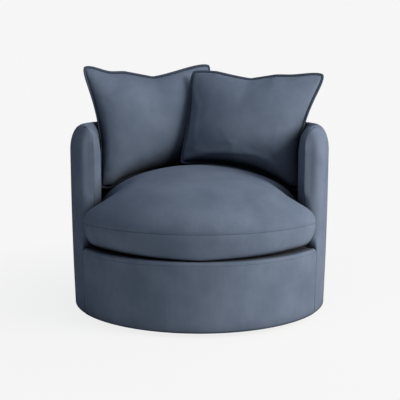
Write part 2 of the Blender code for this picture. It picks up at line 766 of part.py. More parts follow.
def clip_section():
    """A spring clip seen from its side: a plate folded over the wire, open to the outside."""
    hook = WIRE_RADIUS + CLEARANCE
    height = 2 * (CLIP_PLATE + hook)
    back = -hook - CLIP_PLATE
    return [
        (CLIP_TAIL, 0),
        (back, 0),
        (back, height),
        (CLIP_FLAP, height),
        (CLIP_FLAP, height - CLIP_PLATE),
        (-hook, height - CLIP_PLATE),
        (-hook, CLIP_PLATE),
        (CLIP_TAIL, CLIP_PLATE),
    ]


def spring_clip(name, offset, side, surface, tub):
    """The clip at one end of the spring at this distance to the side."""
    seat = SEAT_RING_TOP + CLEARANCE
    reach = spring_half_length(offset)
    sections = []
    for x in (offset - CLIP_WIDTH / 2, offset + CLIP_WIDTH / 2):
        sections.append([Vector((x, side * (reach + y), seat + z)) for y, z in clip_section()])
    lofted(name, sections, surface, tub)


def seat_springs(surfaces, tub):
    """Zigzag springs from the front of the seat ring to its back, each held by two clips."""
    steel = surfaces["steel"]
    for number in range(1, SPRING_COUNT + 1):
        offset = SPRING_SPACING * (number - (SPRING_COUNT + 1) / 2)
        wire(f"seat_spring_{number}", spring_path(offset), WIRE_RADIUS, steel, tub)
        spring_clip(f"front_clip_{number}", offset, -1, steel, tub)
        spring_clip(f"back_clip_{number}", offset, 1, steel, tub)


def deck(surfaces, tub):
    """The pad on the springs, its cover, and the thin cloth that closes the drum below."""
    outline = deck_outline()
    prism("deck_pad", outline, PAD_TOP - PAD, PAD_TOP, surfaces["foam"], tub)
    prism("deck_cover", outline, PAD_TOP + CLEARANCE, DECK_HEIGHT, surfaces["lining"], tub)
    top = BOTTOM_RING_FOOT - CLEARANCE
    outer = HEM_RADIUS - HEM_TURN - SEAM_GAP
    ring = rectangle(BASE_RADIUS + DUST_COVER_EASE, outer, top - DUST_COVER, top)
    turned("dust_cover", ring, ring_angles(), surfaces["lining"], tub)


def cushion_outline():
    """The seat cushion's seam from above: a round front, a lobe before each arm, and a neck
    round each nose into the tub."""
    nose = polar(WALL_MIDDLE, ARM_ANGLE)
    neck = WALL_HALF + SOFT_CLEARANCE
    way = polar(1.0, LOBE_ANGLE)
    along = way.dot(nose)
    lobe = (CUSHION_RADIUS**2 - 2 * CUSHION_RADIUS * along + nose.length**2 - neck**2) / (
        2 * (CUSHION_RADIUS - along + neck)
    )
    lobe_centre = way * (CUSHION_RADIUS - lobe)
    to_nose = nose - lobe_centre
    to_nose_angle = math.degrees(math.atan2(to_nose.x, to_nose.y))
    back = [polar(WALL_MIDDLE - neck, a) for a in np.linspace(0, ARM_ANGLE, WALL_STEPS // 2 + 1)]
    start, end = 180 + ARM_ANGLE, 180 + to_nose_angle
    necks = [nose + polar(neck, a) for a in np.linspace(start, end, 6)[1:]]
    tip_start, tip_end = to_nose_angle, LOBE_ANGLE
    tips = [lobe_centre + polar(lobe, a) for a in np.linspace(tip_start, tip_end, 7)[1:]]
    front = [polar(CUSHION_RADIUS, a) for a in np.linspace(LOBE_ANGLE, 180, 8)[1:]]
    right = back + necks + tips + front
    left = [Vector((-p.x, p.y, 0)) for p in right[1:-1]]
    return right + left[::-1]


def foot_inset(point):
    """How far in from the seam the underside starts: it is fuller in the middle of the front."""
    from_front = 180 - abs(math.degrees(math.atan2(point.x, point.y)))
    share = min(1.0, from_front / FULL_INSET_TURN)
    return FRONT_FOOT_INSET + (CUSHION_FOOT_INSET - FRONT_FOOT_INSET) * share


def crown_share(share, x, y):
    """The height over the seam as a share of the crown's. The share that comes in is 0 on the
    axis and 1 at the seam. Each nose of the arms squeezes the cushion lower beside it."""
    dome = math.sqrt(max(0.0, 1 - share**2))
    for side in (-1, 1):
        nose = polar(WALL_MIDDLE, side * ARM_ANGLE)
        away = math.hypot(x - nose.x, y - nose.y) - WALL_HALF - SOFT_CLEARANCE
        near = 1 - min(1.0, max(0.0, away) / SQUEEZE_REACH)
        kept = math.sqrt(1 - near**2)
        dome = dome * kept / max(1e-9, dome + kept - dome * kept)
    return dome


def cushion_reach(x, y):
    """The distance from the axis to the cushion's seam, in the direction of a point."""
    outline = cushion_outline()
    angles = [math.atan2(p.x, p.y) for p in outline]
    order = np.argsort(angles)
    reaches = [outline[i].length for i in order]
    return float(np.interp(math.atan2(x, y), [angles[i] for i in order], reaches, period=2 * math.pi))


def resting_height(x, y):
    """The height of the seat cushion's top over a point. A scatter cushion doesn't follow its
    steep edge down, but stays level with where that starts."""
    share = math.hypot(x, y) / cushion_reach(x, y)
    back = min(1.0, EDGE_SHARE / max(share, 1e-9))
    return CUSHION_SEAM_HEIGHT + CUSHION_CROWN * crown_share(share * back, x * back, y * back)


def round_the_noses(point):
    """Moves a point of the seat cushion out of the noses, which it is soft enough to fit round."""
    for side in (-1, 1):
        nose = polar(WALL_MIDDLE, side * ARM_ANGLE, point.z)
        away = point - nose
        keep = half_thickness(point.z, 0.0) + SOFT_CLEARANCE
        if away.length < keep:
            point = nose + away.normalized() * keep
    return point


def seat_cushion(surface, parent):
    """The loose cushion: crowned above its seam, rounded below it, and flat where it lies."""
    outline = cushion_outline()
    rings = []
    for turn in (90, 60, 30):
        lean = math.radians(turn)
        height = Vector((0, 0, CUSHION_SEAM_HEIGHT - CUSHION_DEPTH * math.sin(lean)))
        insets = [foot_inset(p) * (1 - math.cos(lean)) / p.length for p in outline]
        rings.append([p * (1 - inset) + height for p, inset in zip(outline, insets)])
    for turn in (0, 12, 26, 42, 58, 74, 86):
        share = math.cos(math.radians(turn))
        rises = [CUSHION_CROWN * crown_share(share, p.x * share, p.y * share) for p in outline]
        rings.append([p * share + Vector((0, 0, CUSHION_SEAM_HEIGHT + z)) for p, z in zip(outline, rises)])
    rings = [[round_the_noses(p) for p in ring] for ring in rings]
    return lofted("seat_cushion", rings, surface, parent)


def wall_limit(height, margin):
    """How far from the axis a loose cushion may reach at this height."""
    if height > RIM_HEIGHT + margin:
        return math.inf
    return (WALL_MIDDLE - half_thickness(height, 0.0) - margin) * FACET


def kept_clear(point, thickness):
    """Moves a point of a scatter cushion out of the tub's wall and of the seat cushion, where
    more of the cushion, of this thickness, lies round the point."""
    limit = wall_limit(point.z, SOFT_CLEARANCE + thickness)
    reach = math.hypot(point.x, point.y)
    if reach > limit:
        point = Vector((point.x * limit / reach, point.y * limit / reach, point.z))
    point.z = max(point.z, resting_height(point.x, point.y) + PILLOW_EASE + thickness)
    return point


class Pillow:
    """A scatter cushion between its top corners and its foot on the seat cushion."""

    def __init__(self, sizes):
        self.top = [Vector((x, y, CUSHION_CROWN_HEIGHT + z)) for x, y, z in sizes["top"]]
        self.foot = [Vector((*p, 0.0)) for p in sizes["foot"]]
        self.swell = Vector(sizes["swell"]).normalized()
        self.across = (self.top[1] - self.top[0]).normalized()
        self.scoop = sizes["scoop"]
        self.chop = sizes["chop"]
        self.chop_place = sizes["chop_place"]
        self.sides = sizes["sides"]
        self.piped = 2 * PIPING_RADIUS + PILLOW_EASE

    def middle(self, u, v):
        """The sheet that the cushion swells from, u from left to right and v from foot to top."""
        top = self.top[0].lerp(self.top[1], (1 + u) / 2)
        chopped = max(0.0, 1 - abs(u - self.chop_place) / CHOP_WIDTH)
        top.z -= self.scoop * (1 - u**4) + self.chop * chopped
        foot = self.foot[0].lerp(self.foot[1], (1 + u) / 2)
        foot.z = resting_height(foot.x, foot.y) + PILLOW_EASE + self.piped
        inward = -(u**3) * self.sides[0 if u < 0 else 1] * (1 - v * v) ** 2
        return foot.lerp(top, (1 + v) / 2) + self.across * inward

    def thickness(self, u, v):
        return PILLOW_HALF_THICKNESS * ((1 - u * u) * (1 - v * v)) ** 0.6 * (1 - 0.15 * v)

    def form(self, name, surface, parent):
        steps = [2 * k / PILLOW_STEPS - 1 for k in range(PILLOW_STEPS + 1)]
        sheet = Sheet()
        columns = []
        for u in steps:
            column = []
            for v in steps:
                swell = self.swell * self.thickness(u, v)
                front = kept_clear(self.middle(u, v) + swell, self.piped)
                back = kept_clear(self.middle(u, v) - swell * PILLOW_BACK_SHARE, self.piped)
                column.append(sheet.point((u, v), front, back))
            columns.append(column)
        sheet.over_columns(columns)
        return sheet.solid(name, surface, parent)

    def piping(self, name, surface, parent):
        steps = [2 * k / PILLOW_STEPS - 1 for k in range(PILLOW_STEPS)]
        rim = [(u, 1) for u in steps] + [(1, -v) for v in steps]
        rim += [(-u, -1) for u in steps] + [(-1, v) for v in steps]
        edge = [self.middle(u, v) for u, v in rim]
        centre = self.middle(0, 0)
        outward = []
        for here, after in zip(edge, edge[1:] + edge[:1]):
            away = (here + after) / 2 - centre
            outward.append((away - away.project(after - here)).normalized())
        route = []
        for k, here in enumerate(edge):
            near, far = outward[k - 1], outward[k]
            mitre = (near + far) / (1 + near.dot(far))
            route.append(kept_clear(here + mitre * (PIPING_RADIUS + CLEARANCE), PIPING_RADIUS))
        return wire(name, route, PIPING_RADIUS, surface, parent, cyclic=True, roundness=1)


def build():
    for old in list(bpy.data.objects):
        bpy.data.objects.remove(old)
    surfaces = {
        "cloth": material("slate plain weave", "#5A6577", 0.92),
        "piping": material("slate piping", "#4A5464", 0.92),
        "lining": material("black lining cloth", "#26282C", 0.95),
        "foam": material("foam", "#E6DFC8", 0.95),
        "plywood": material("birch plywood", "#C8A878", 0.65),
        "pine": material("pine", "#D2B07C", 0.65),
        "hardboard": material("hardboard", "#7A5A3C", 0.75),
        "steel": material("zinc-plated steel", "#B4B8BC", 0.35, 1.0),
        "brass": material("brass", "#B8964E", 0.40, 1.0),
        "felt": material("felt", "#3A3A3C", 0.95),
    }
    base = empty("base_standing", (0, 0, 0))
    axis = (0, 0, BALL_HEIGHT)
    lowered = (0, 0, -BALL_HEIGHT)
    cage = empty("cage_place", lowered, empty("cage_turning", axis, base))
    tub = empty("tub_place", lowered, empty("tub_turning", axis, base))

    base_and_turntable(surfaces, base, cage, tub)
    frame(surfaces, tub)
    seat_springs(surfaces, tub)
    deck(surfaces, tub)
    wall_foam(surfaces["foam"], tub)
    band_foam(surfaces["foam"], tub)
    outer_cover(surfaces["cloth"], tub)
    inner_cover(surfaces["cloth"], tub)
    band_cover(surfaces["cloth"], tub)

    cushion = empty("seat_cushion_lifting", (0, 0, 0), tub)
    seat_cushion(surfaces["cloth"], cushion)
    for name, sizes in (("left_pillow", LEFT_PILLOW), ("right_pillow", RIGHT_PILLOW)):
        pillow = Pillow(sizes)
        lifting = empty(name + "_lifting", (0, 0, 0), cushion)
        pillow.form(name, surfaces["cloth"], lifting)
        pillow.piping(name + "_piping", surfaces["piping"], lifting)


build()
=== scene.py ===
# %% [markdown]
# # Dressing a swivel accent chair
# The hard parts of this chair, its plywood frame, springs and turntable, arrive as a imported model that
# stays as it is. All that the picture shows is cloth over filling, so this lesson makes the cloth: two
# sewn panels round the tub, the band across the front, the domed seat cushion and two scatter cushions.
# We load the model first and bake each part's place into its mesh, so that the sizes of its parts can be
# read.

# %% Load the frame
import math

import bpy
import numpy as np
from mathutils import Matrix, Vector
from mathutils.bvhtree import BVHTree


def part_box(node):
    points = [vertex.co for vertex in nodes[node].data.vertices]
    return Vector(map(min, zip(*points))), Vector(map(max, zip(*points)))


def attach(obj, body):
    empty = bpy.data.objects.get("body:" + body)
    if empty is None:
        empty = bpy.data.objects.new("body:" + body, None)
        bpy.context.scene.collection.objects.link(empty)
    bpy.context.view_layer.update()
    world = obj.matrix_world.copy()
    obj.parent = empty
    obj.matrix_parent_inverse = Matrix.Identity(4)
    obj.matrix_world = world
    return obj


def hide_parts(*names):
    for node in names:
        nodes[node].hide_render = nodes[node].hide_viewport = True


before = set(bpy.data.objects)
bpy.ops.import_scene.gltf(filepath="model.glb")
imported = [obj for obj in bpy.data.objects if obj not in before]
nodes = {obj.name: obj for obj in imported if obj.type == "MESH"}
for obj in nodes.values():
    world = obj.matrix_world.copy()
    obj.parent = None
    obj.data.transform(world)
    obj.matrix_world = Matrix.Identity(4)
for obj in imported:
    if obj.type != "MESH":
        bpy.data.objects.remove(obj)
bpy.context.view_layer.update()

print("frame loaded:", len(nodes), "nodes")

# %% [markdown]
# ## Sizes
# The tub is a ring-shaped wall that ends in two round noses, the arms. Its top is rounded as half an
# ellipse. Angles are counted from the back towards the right arm, so the front of the chair is at 180
# degrees. The sizes are the same as those of the frame, in metres.

# %% Sizes of the tub
MM = 0.001
WALL_RADIUS = 0.4475
HEM_RADIUS = 0.4405
FLARE_HEIGHT = 0.450
RIM_HEIGHT = 0.634
RIM_RISE = 0.086
RIM_SPRING = RIM_HEIGHT - RIM_RISE
WALL_INNER = 0.3613
WALL_HALF = (WALL_RADIUS - WALL_INNER) / 2
WALL_MIDDLE = (WALL_RADIUS + WALL_INNER) / 2
ARM_ANGLE = 113.7
JOIN_ANGLE = 120.0
DECK_HEIGHT = 0.238
DRUM_BLEND = 0.040
HEM_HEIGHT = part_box("outer_cover")[0].z
INNER_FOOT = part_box("inner_cover")[0].z
COVER = 0.002
print("wall:", round(2 * WALL_HALF / MM), "mm thick")
print("hem:", round(HEM_HEIGHT / MM, 1), "mm above the floor")

# %% [markdown]
# ## Camera
# The picture fits a short telephoto lens that stands a little lower than the tops of the scatter
# cushions and looks down about eight degrees. The lens and the place below were found by setting the
# arms, the drum and the seat of the model against the picture. The chair stands half a pixel left of
# the middle, a tiny sideways shift.

# %% Camera
FRAME_PIXELS = 400
FOCAL_PIXELS = 800
SHIFT_PIXELS = 0.5
SENSOR_WIDTH = 36
CAMERA_PLACE = (0, -2.8009, 0.7747)
CAMERA_DIP = 8.3326
camera_data = bpy.data.cameras.new("camera")
camera_data.sensor_width = SENSOR_WIDTH
camera_data.lens = SENSOR_WIDTH * FOCAL_PIXELS / FRAME_PIXELS
camera_data.shift_x = SHIFT_PIXELS / FRAME_PIXELS
camera = bpy.data.objects.new("camera", camera_data)
bpy.context.scene.collection.objects.link(camera)
camera.location = CAMERA_PLACE
camera.rotation_euler = (math.radians(90 - CAMERA_DIP), 0, 0)
bpy.context.scene.camera = camera
bpy.context.scene.view_settings.view_transform = "Standard"
print("camera lens", camera_data.lens, "mm")

# %% [markdown]
# ## Colours and nodes
# Hex colours are written as a screen shows them, while Blender mixes light in linear values, so one
# function turns the first into the second. A second small function adds a shader node, sets its values
# and links its inputs, which keeps each material readable from top to bottom.

# %% Colour and node helpers
def linear(hex_colour):
    """The colour #RRGGBB as linear red, green, blue and alpha, by the sRGB curve."""
    channels = [int(hex_colour[i : i + 2], 16) / 255 for i in (1, 3, 5)]
    return [c / 12.92 if c <= 0.04045 else ((c + 0.055) / 1.055) ** 2.4 for c in channels] + [1.0]


def add_node(tree, kind, inputs=None, **settings):
    """Adds a shader node. An input is a value, or the output socket that feeds it."""
    made = tree.nodes.new(kind)
    for key, value in settings.items():
        setattr(made, key, value)
    for key, value in (inputs or {}).items():
        if isinstance(value, bpy.types.NodeSocket):
            tree.links.new(value, made.inputs[key])
        else:
            made.inputs[key].default_value = value
    return made


def new_material(name):
    """An empty material with its shader and its output joined."""
    made = bpy.data.materials.new(name)
    made.use_nodes = True
    return made, made.node_tree, made.node_tree.nodes["Principled BSDF"]

# %% [markdown]
# ## The cover cloth
# The cover is taken to be a plain weave in slate blue: warp and weft pass over and under each other one
# by one. Its yarn is a little uneven, which gives the cloth soft streaks, and its fuzz catches light at
# a glancing angle. Two crossing sine waves make the checkered hills of a plain weave. They are laid on
# from three sides and blended by the surface's direction, so the weave needs no unwrapping on a round
# cushion. Its threads are taken as 0.9 mm apart, finer than a pixel, so the uneven yarn is drawn wider
# than it is.

# %% Height of the weave
THREAD = 0.9 * MM


def weave_height(tree, place, facing):
    """The height of a plain weave over a surface, laid on from three sides."""
    turns = (math.pi / THREAD,) * 3
    waves = add_node(tree, "ShaderNodeVectorMath", {0: place, 1: turns}, operation="MULTIPLY")
    sines = add_node(tree, "ShaderNodeVectorMath", {0: waves.outputs[0]}, operation="SINE")
    parts = add_node(tree, "ShaderNodeSeparateXYZ", {0: sines.outputs[0]})
    x, y, z = parts.outputs
    ahead = add_node(tree, "ShaderNodeCombineXYZ", {0: y, 1: z, 2: x})
    behind = add_node(tree, "ShaderNodeCombineXYZ", {0: z, 1: x, 2: y})
    hills = add_node(
        tree, "ShaderNodeVectorMath", {0: ahead.outputs[0], 1: behind.outputs[0]}, operation="MULTIPLY"
    )
    squared = add_node(tree, "ShaderNodeVectorMath", {0: facing, 1: facing}, operation="MULTIPLY")
    twice = {0: squared.outputs[0], 1: squared.outputs[0]}
    share = add_node(tree, "ShaderNodeVectorMath", twice, operation="MULTIPLY")
    both = {0: hills.outputs[0], 1: share.outputs[0]}
    return add_node(tree, "ShaderNodeVectorMath", both, operation="DOT_PRODUCT").outputs["Value"]

# %% [markdown]
# ## Tones of the cover cloth
# The weave, streaks of uneven yarn and slow patches of dye add up to one tone, and a ramp turns that to a
# colour. The weave also changes the roughness a little and lifts the surface. The piping is the same
# cloth painted in darker tones as painted shade, because the picture shows it darker than the cushions.

# %% Cover cloth material
STREAKS_PER_METRE = (250, 250, 16)
PATCHES_PER_METRE = 9.0
WEAVE_TONE = 0.22
STREAK_TONE = 0.20
PATCH_TONE = 0.80
STREAK_RELIEF = 0.5
CREASE_REACH = 110 * MM
CREASE_OPEN = (0.12, 0.75)
CREASE_SHADE = (0.1, 1.0)


def cover_cloth(name, dark, middle, pale):
    """Upholstery cloth in three tones of one yarn."""
    made, tree, surface = new_material(name)
    where = add_node(tree, "ShaderNodeTexCoord")
    weave = weave_height(tree, where.outputs["Object"], where.outputs["Normal"])
    # Streaks of thicker yarn run up and down, about 4 mm wide and 60 mm long.
    stretched = add_node(
        tree, "ShaderNodeMapping", {"Vector": where.outputs["Object"], "Scale": STREAKS_PER_METRE}
    )
    streaks = add_node(
        tree, "ShaderNodeTexNoise", {"Vector": stretched.outputs[0], "Scale": 1.0, "Detail": 2.0}
    )
    # Slow patches, a hand wide, where the cloth took the dye a little differently.
    patches = add_node(
        tree,
        "ShaderNodeTexNoise",
        {"Vector": where.outputs["Object"], "Scale": PATCHES_PER_METRE, "Detail": 3.0},
    )
    # Each pattern adds its share to one tone, which the ramp turns to a colour.
    tone = 0.0
    for pattern, part in (
        (weave, WEAVE_TONE),
        (streaks.outputs[0], STREAK_TONE),
        (patches.outputs[0], PATCH_TONE),
    ):
        added = {0: pattern, 1: part, 2: tone}
        tone = add_node(tree, "ShaderNodeMath", added, operation="MULTIPLY_ADD").outputs[0]
    ramp = add_node(tree, "ShaderNodeValToRGB", {"Fac": tone})
    ramp.color_ramp.elements[0].position = 0.30
    ramp.color_ramp.elements[0].color = linear(dark)
    ramp.color_ramp.elements[1].position = 0.70
    ramp.color_ramp.elements[1].color = linear(pale)
    ramp.color_ramp.elements.new(0.50).color = linear(middle)
    rough = add_node(
        tree, "ShaderNodeMapRange", {"Value": weave, "From Min": -1.0, "To Min": 0.84, "To Max": 0.96}
    )
    uneven = {0: streaks.outputs[0], 1: STREAK_RELIEF, 2: weave}
    height = add_node(tree, "ShaderNodeMath", uneven, operation="MULTIPLY_ADD")
    bump = add_node(
        tree, "ShaderNodeBump", {"Height": height.outputs[0], "Strength": 0.35, "Distance": 0.25 * MM}
    )
    # The photographed gaps are darker than these lamps leave them, so the colour is drawn down wherever
    # another surface stands closer than CREASE_REACH. This isn't how cloth behaves.
    # Painted shade: the AO node darkens the base colour in gaps and creases, where shade falls.
    crease = add_node(tree, "ShaderNodeAmbientOcclusion", {"Distance": CREASE_REACH}, samples=8)
    shade = add_node(
        tree,
        "ShaderNodeMapRange",
        {
            "Value": crease.outputs["AO"],
            "From Min": CREASE_OPEN[0],
            "From Max": CREASE_OPEN[1],
            "To Min": CREASE_SHADE[0],
            "To Max": CREASE_SHADE[1],
        },
    )
    shaded = add_node(
        tree, "ShaderNodeVectorMath", {0: ramp.outputs[0], "Scale": shade.outputs[0]}, operation="SCALE"
    )
    tree.links.new(shaded.outputs[0], surface.inputs["Base Color"])
    tree.links.new(rough.outputs[0], surface.inputs["Roughness"])
    tree.links.new(bump.outputs[0], surface.inputs["Normal"])
    surface.inputs["Specular IOR Level"].default_value = 0.15
    surface.inputs["Sheen Weight"].default_value = 0.02
    surface.inputs["Sheen Roughness"].default_value = 0.45
    surface.inputs["Sheen Tint"].default_value = linear("#C9D2DE")
    return made


slate_cloth = cover_cloth("slate plain weave cloth", "#525D6F", "#5A6577", "#636E80")
# The piping's darker tones are painted shade on the same cloth.
piping_cloth = cover_cloth("slate cloth on the bias, painted darker as shade", "#353E4D", "#3C4555", "#444E5E")
print("cover cloth: threads", THREAD / MM, "mm apart")

# %% [markdown]
# ## Sewing thread
# Bonded polyester thread is smoother and darker than the cloth, and it lies a little sunk in the seam.
# Two tones about a millimetre apart stand for its twist. That is enough, because a thread is thinner
# than a pixel in the picture.

# %% Thread material
TWISTS_PER_METRE = 900.0
thread_dark, tree, surface = new_material("bonded polyester thread")
where = add_node(tree, "ShaderNodeTexCoord")
twist = add_node(
    tree, "ShaderNodeTexNoise", {"Vector": where.outputs["Object"], "Scale": TWISTS_PER_METRE}
)
tint = add_node(tree, "ShaderNodeValToRGB", {"Fac": twist.outputs[0]})
tint.color_ramp.elements[0].color = linear("#2C3340")
tint.color_ramp.elements[1].color = linear("#3B4453")
tree.links.new(tint.outputs[0], surface.inputs["Base Color"])
surface.inputs["Roughness"].default_value = 0.75
surface.inputs["Specular IOR Level"].default_value = 0.2
print("material:", thread_dark.name)

# %% [markdown]
# ## Where the wall's surface is
# The covers lie on one padded wall, so we first write down where its surface is. A place on the wall is
# given by a walk round it and a rise. On the rim the rise is an angle on the ellipse, and a depth sinks
# the place below the surface, as a seam does.

# %% Points on the padded wall
def polar(radius, angle, height=0.0):
    turn = math.radians(angle)
    return Vector((radius * math.sin(turn), radius * math.cos(turn), height))


def outside_radius(height):
    below = max(0.0, (FLARE_HEIGHT - height) / (FLARE_HEIGHT - HEM_HEIGHT))
    return WALL_RADIUS - (WALL_RADIUS - HEM_RADIUS) * below**2


def half_thickness(height, depth):
    up = max(0.0, (height - RIM_SPRING) / (RIM_RISE - depth))
    return (WALL_HALF - depth) * math.sqrt(max(0.0, 1 - up**2))


def smooth(share):
    """A step from 0 to 1 that starts and ends softly."""
    share = min(1.0, max(0.0, share))
    return share * share * (3 - 2 * share)

# %% [markdown]
# ## The nose of an arm
# The wall's end is rounded into a nose, and a place on it is given by a turn round the nose and a height.
# Near its top the nose stands squarer than a plain dome would. Low down it fills out into the drum's
# corner.

# %% Points on a nose
CORNER_TURN = 45.0


def squarer(height):
    """How much further forward a nose stands near its top than a plain dome would. The outer panel
    closes the arm's end like a lid, so the front stays upright until close below the seam."""
    up = min(0.999, max(0.0, (height - RIM_SPRING) / RIM_RISE))
    return (1 - up**3) ** (1 / 3) / math.sqrt(1 - up**2)


def nose_point(side, turn, height, depth=0.0):
    """On an arm's nose: turn goes from -90 at the outside over 0 at the front to 90 at the inside."""
    arm = side * ARM_ANGLE
    join = side * (JOIN_ANGLE - math.degrees(depth / WALL_RADIUS))
    half = half_thickness(height, depth)
    radial = polar(1, arm)
    forward = polar(1, arm + side * 90)
    lean = math.radians(turn)
    inset = (WALL_RADIUS - outside_radius(height)) * max(0.0, -math.sin(lean))
    middle = polar(WALL_MIDDLE - inset, arm, height)
    round_nose = middle + half * (forward * math.cos(lean) * squarer(height) - radial * math.sin(lean))
    drum_share = 1 - smooth((height - DECK_HEIGHT) / DRUM_BLEND)
    outside = outside_radius(height) - depth
    if turn <= -CORNER_TURN:
        corner = polar(outside, arm + (join - arm) * (turn + 90) / (90 - CORNER_TURN), height)
    else:
        share = min(1.0, (turn + CORNER_TURN) / CORNER_TURN)
        radius = outside + (WALL_MIDDLE - outside) * share - half * max(0.0, math.sin(lean))
        corner = polar(radius, join, height)
    return round_nose.lerp(corner, drum_share)


def wall_point(side, angle, height, depth=0.0):
    """On the wall: side is 1 on its outside and -1 on its inside."""
    half = half_thickness(height, depth)
    inset = WALL_RADIUS - outside_radius(height) if side > 0 else 0.0
    return polar(WALL_MIDDLE + side * half - inset, angle, height)

# %% [markdown]
# ## Where the seam runs
# On each arm one seam joins the outer panel to the inner one. It climbs the inner front of the nose,
# arches over its top and runs on along the outer edge of the rim. Over the nose's top the cloth stands
# up to the seam as a ridge with a fine groove in it. To know how far a point is from the seam, the nose
# is unrolled flat and the nearest place on the seam is measured.

# %% Seam line and the valley along it
SEAM_TURN = 13.0
SEAM_START = 0.590
SEAM_RIM = 0.630
ARCH_END = -58.0
CUSHION_TOP_AT_NOSE = 0.395
SEAM_DEPTH = 0.9 * MM
SEAM_WIDTH = 2.0 * MM
FLAT_HALF = 31.5
FLAT_SINK = 3.0 * MM
RIDGE = 2.4 * MM
RIDGE_REACH = 11 * MM
RIDGE_RISE = 0.05
RIDGE_TURN = 30.0
FLAT_FADE = 0.03
FLAT_EASE = 0.9 * MM


def seam_height(turn):
    across = min(1.0, max(0.0, (SEAM_TURN - turn) / (SEAM_TURN - ARCH_END)))
    return SEAM_START + (SEAM_RIM - SEAM_START) * math.sqrt(1 - (1 - across) ** 2)


def flat_turn(turn):
    return WALL_HALF * math.radians(turn)


ARCH_TURNS = SEAM_TURN - (SEAM_TURN + 90) * np.linspace(0, 1, 90) ** 2
SEAM_LINE = [(flat_turn(SEAM_TURN), z) for z in np.linspace(0.0, SEAM_START, 160)]
SEAM_LINE += [(flat_turn(turn), seam_height(turn)) for turn in ARCH_TURNS]
SEAM_LINE = np.array(SEAM_LINE)


def valley(turn, height):
    """How far the cloth is drawn in near the seam, at a turn round the nose."""
    if turn <= -90:
        return SEAM_DEPTH * math.exp(-(((height - SEAM_RIM) / SEAM_WIDTH) ** 2))
    away = np.hypot(SEAM_LINE[:, 0] - flat_turn(turn), SEAM_LINE[:, 1] - height).min()
    drawn = SEAM_DEPTH * math.exp(-((away / SEAM_WIDTH) ** 2))
    over_top = smooth((height - SEAM_START + RIDGE_RISE) / RIDGE_RISE) * smooth((turn + 90) / RIDGE_TURN)
    ridge = RIDGE * math.exp(-away / RIDGE_REACH) * over_top
    return float(drawn - ridge + stretched_flat(turn, height))


def stretched_flat(turn, height):
    """Both panels are stretched flat beside the upright seam, so the seam is a crease between them."""
    away = abs(turn - SEAM_TURN)
    off = min(abs(away - FLAT_HALF), FLAT_HALF)
    sunk = WALL_HALF - (WALL_HALF - FLAT_SINK) / math.cos(math.radians(off))
    if away > FLAT_HALF:
        sunk = max(0.0, sunk) ** 2 / (max(0.0, sunk) + FLAT_EASE)
    over_cushion = smooth((height - CUSHION_TOP_AT_NOSE) / FLAT_FADE)
    below_arch = 1 - smooth((height - SEAM_START + FLAT_FADE) / (2 * FLAT_FADE))
    shown = over_cushion * below_arch
    return sunk * shown


print("seam line:", len(SEAM_LINE), "places, up to", SEAM_RIM, "m above the floor")

# %% [markdown]
# ## Laying a panel
# A sewn panel starts as a flat grid, as cloth does, and each crossing of the grid is then carried to
# its place on the padding. The grid is finer near the seams, where the cloth bends most. Two grids that
# share an edge are joined and their doubled points merged.

# %% Helpers that lay and sew cloth
MERGE_REACH = 0.02 * MM


def deselect():
    bpy.ops.object.select_all(action="DESELECT")


def pick(piece):
    """Selects this piece alone and makes it the active one."""
    deselect()
    piece.select_set(True)
    bpy.context.view_layer.objects.active = piece


def laid_panel(name, stations, rows, place):
    """A grid of cloth whose crossing (i, j) lies at place(stations[i], rows[j])."""
    deselect()
    across, up = len(stations) - 1, len(rows) - 1
    bpy.ops.mesh.primitive_grid_add(x_subdivisions=across, y_subdivisions=up, size=2)
    panel = bpy.context.object
    panel.name = name
    panel.data.name = name
    for point in panel.data.vertices:
        i = round((point.co.x + 1) / 2 * across)
        j = round((point.co.y + 1) / 2 * up)
        point.co = place(stations[i], rows[j])
    return panel


def sewn(name, panels):
    """Joins panels into one piece, merging the points of their shared edges."""
    deselect()
    for panel in panels:
        panel.select_set(True)
    bpy.context.view_layer.objects.active = panels[0]
    if len(panels) > 1:
        bpy.ops.object.join()
    piece = bpy.context.object
    piece.name = name
    piece.data.name = name
    bpy.ops.object.mode_set(mode="EDIT")
    bpy.ops.mesh.select_all(action="SELECT")
    bpy.ops.mesh.remove_doubles(threshold=MERGE_REACH)
    bpy.ops.mesh.normals_make_consistent(inside=False)
    bpy.ops.object.mode_set(mode="OBJECT")
    return piece

# %% [markdown]
# ## Thickness and finish
# Solidify gives the cloth its thickness inwards, so the faces are first turned away from the padding. A
# finished piece then gets its material and the body that it rides on, and hides the nodes that it stands
# for.

# %% Helpers that finish a piece
def face_away(piece, inside):
    """Turns the faces so that they point away from inside(point), a place in the padding."""
    agreed = sum((f.center - inside(f.center)).dot(f.normal) * f.area for f in piece.data.polygons)
    if agreed < 0:
        pick(piece)
        bpy.ops.object.mode_set(mode="EDIT")
        bpy.ops.mesh.select_all(action="SELECT")
        bpy.ops.mesh.flip_normals()
        bpy.ops.object.mode_set(mode="OBJECT")


def thicken(piece, thickness):
    """Gives the cloth its thickness, inwards, and applies it."""
    pick(piece)
    shell = piece.modifiers.new("thickness", "SOLIDIFY")
    shell.thickness = thickness
    shell.offset = -1
    bpy.ops.object.modifier_apply(modifier=shell.name)
    bpy.ops.object.shade_smooth()


def finish_piece(piece, material, body, *replaced):
    """Gives the piece its cloth, ties it to its body and hides the nodes that it stands for."""
    piece.data.materials.clear()
    piece.data.materials.append(material)
    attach(piece, body)
    if replaced:
        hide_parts(*replaced)
    print(piece.name, len(piece.data.polygons), "faces")


def wall_middle(point):
    """The nearest place in the middle of the wall."""
    angle = math.degrees(math.atan2(point.x, point.y))
    angle = max(-ARM_ANGLE, min(ARM_ANGLE, angle))
    return polar(WALL_MIDDLE, angle, min(point.z, RIM_SPRING))

# %% [markdown]
# ## The outer panel
# One long piece of cloth wraps the outside, from the seam on one nose round the back to the seam on the
# other, and is turned in under the hem. Its columns are counted as a walk along the outside from the
# back centre. Past the wall's end the walk goes on round the nose. The last row is tucked into the seam.

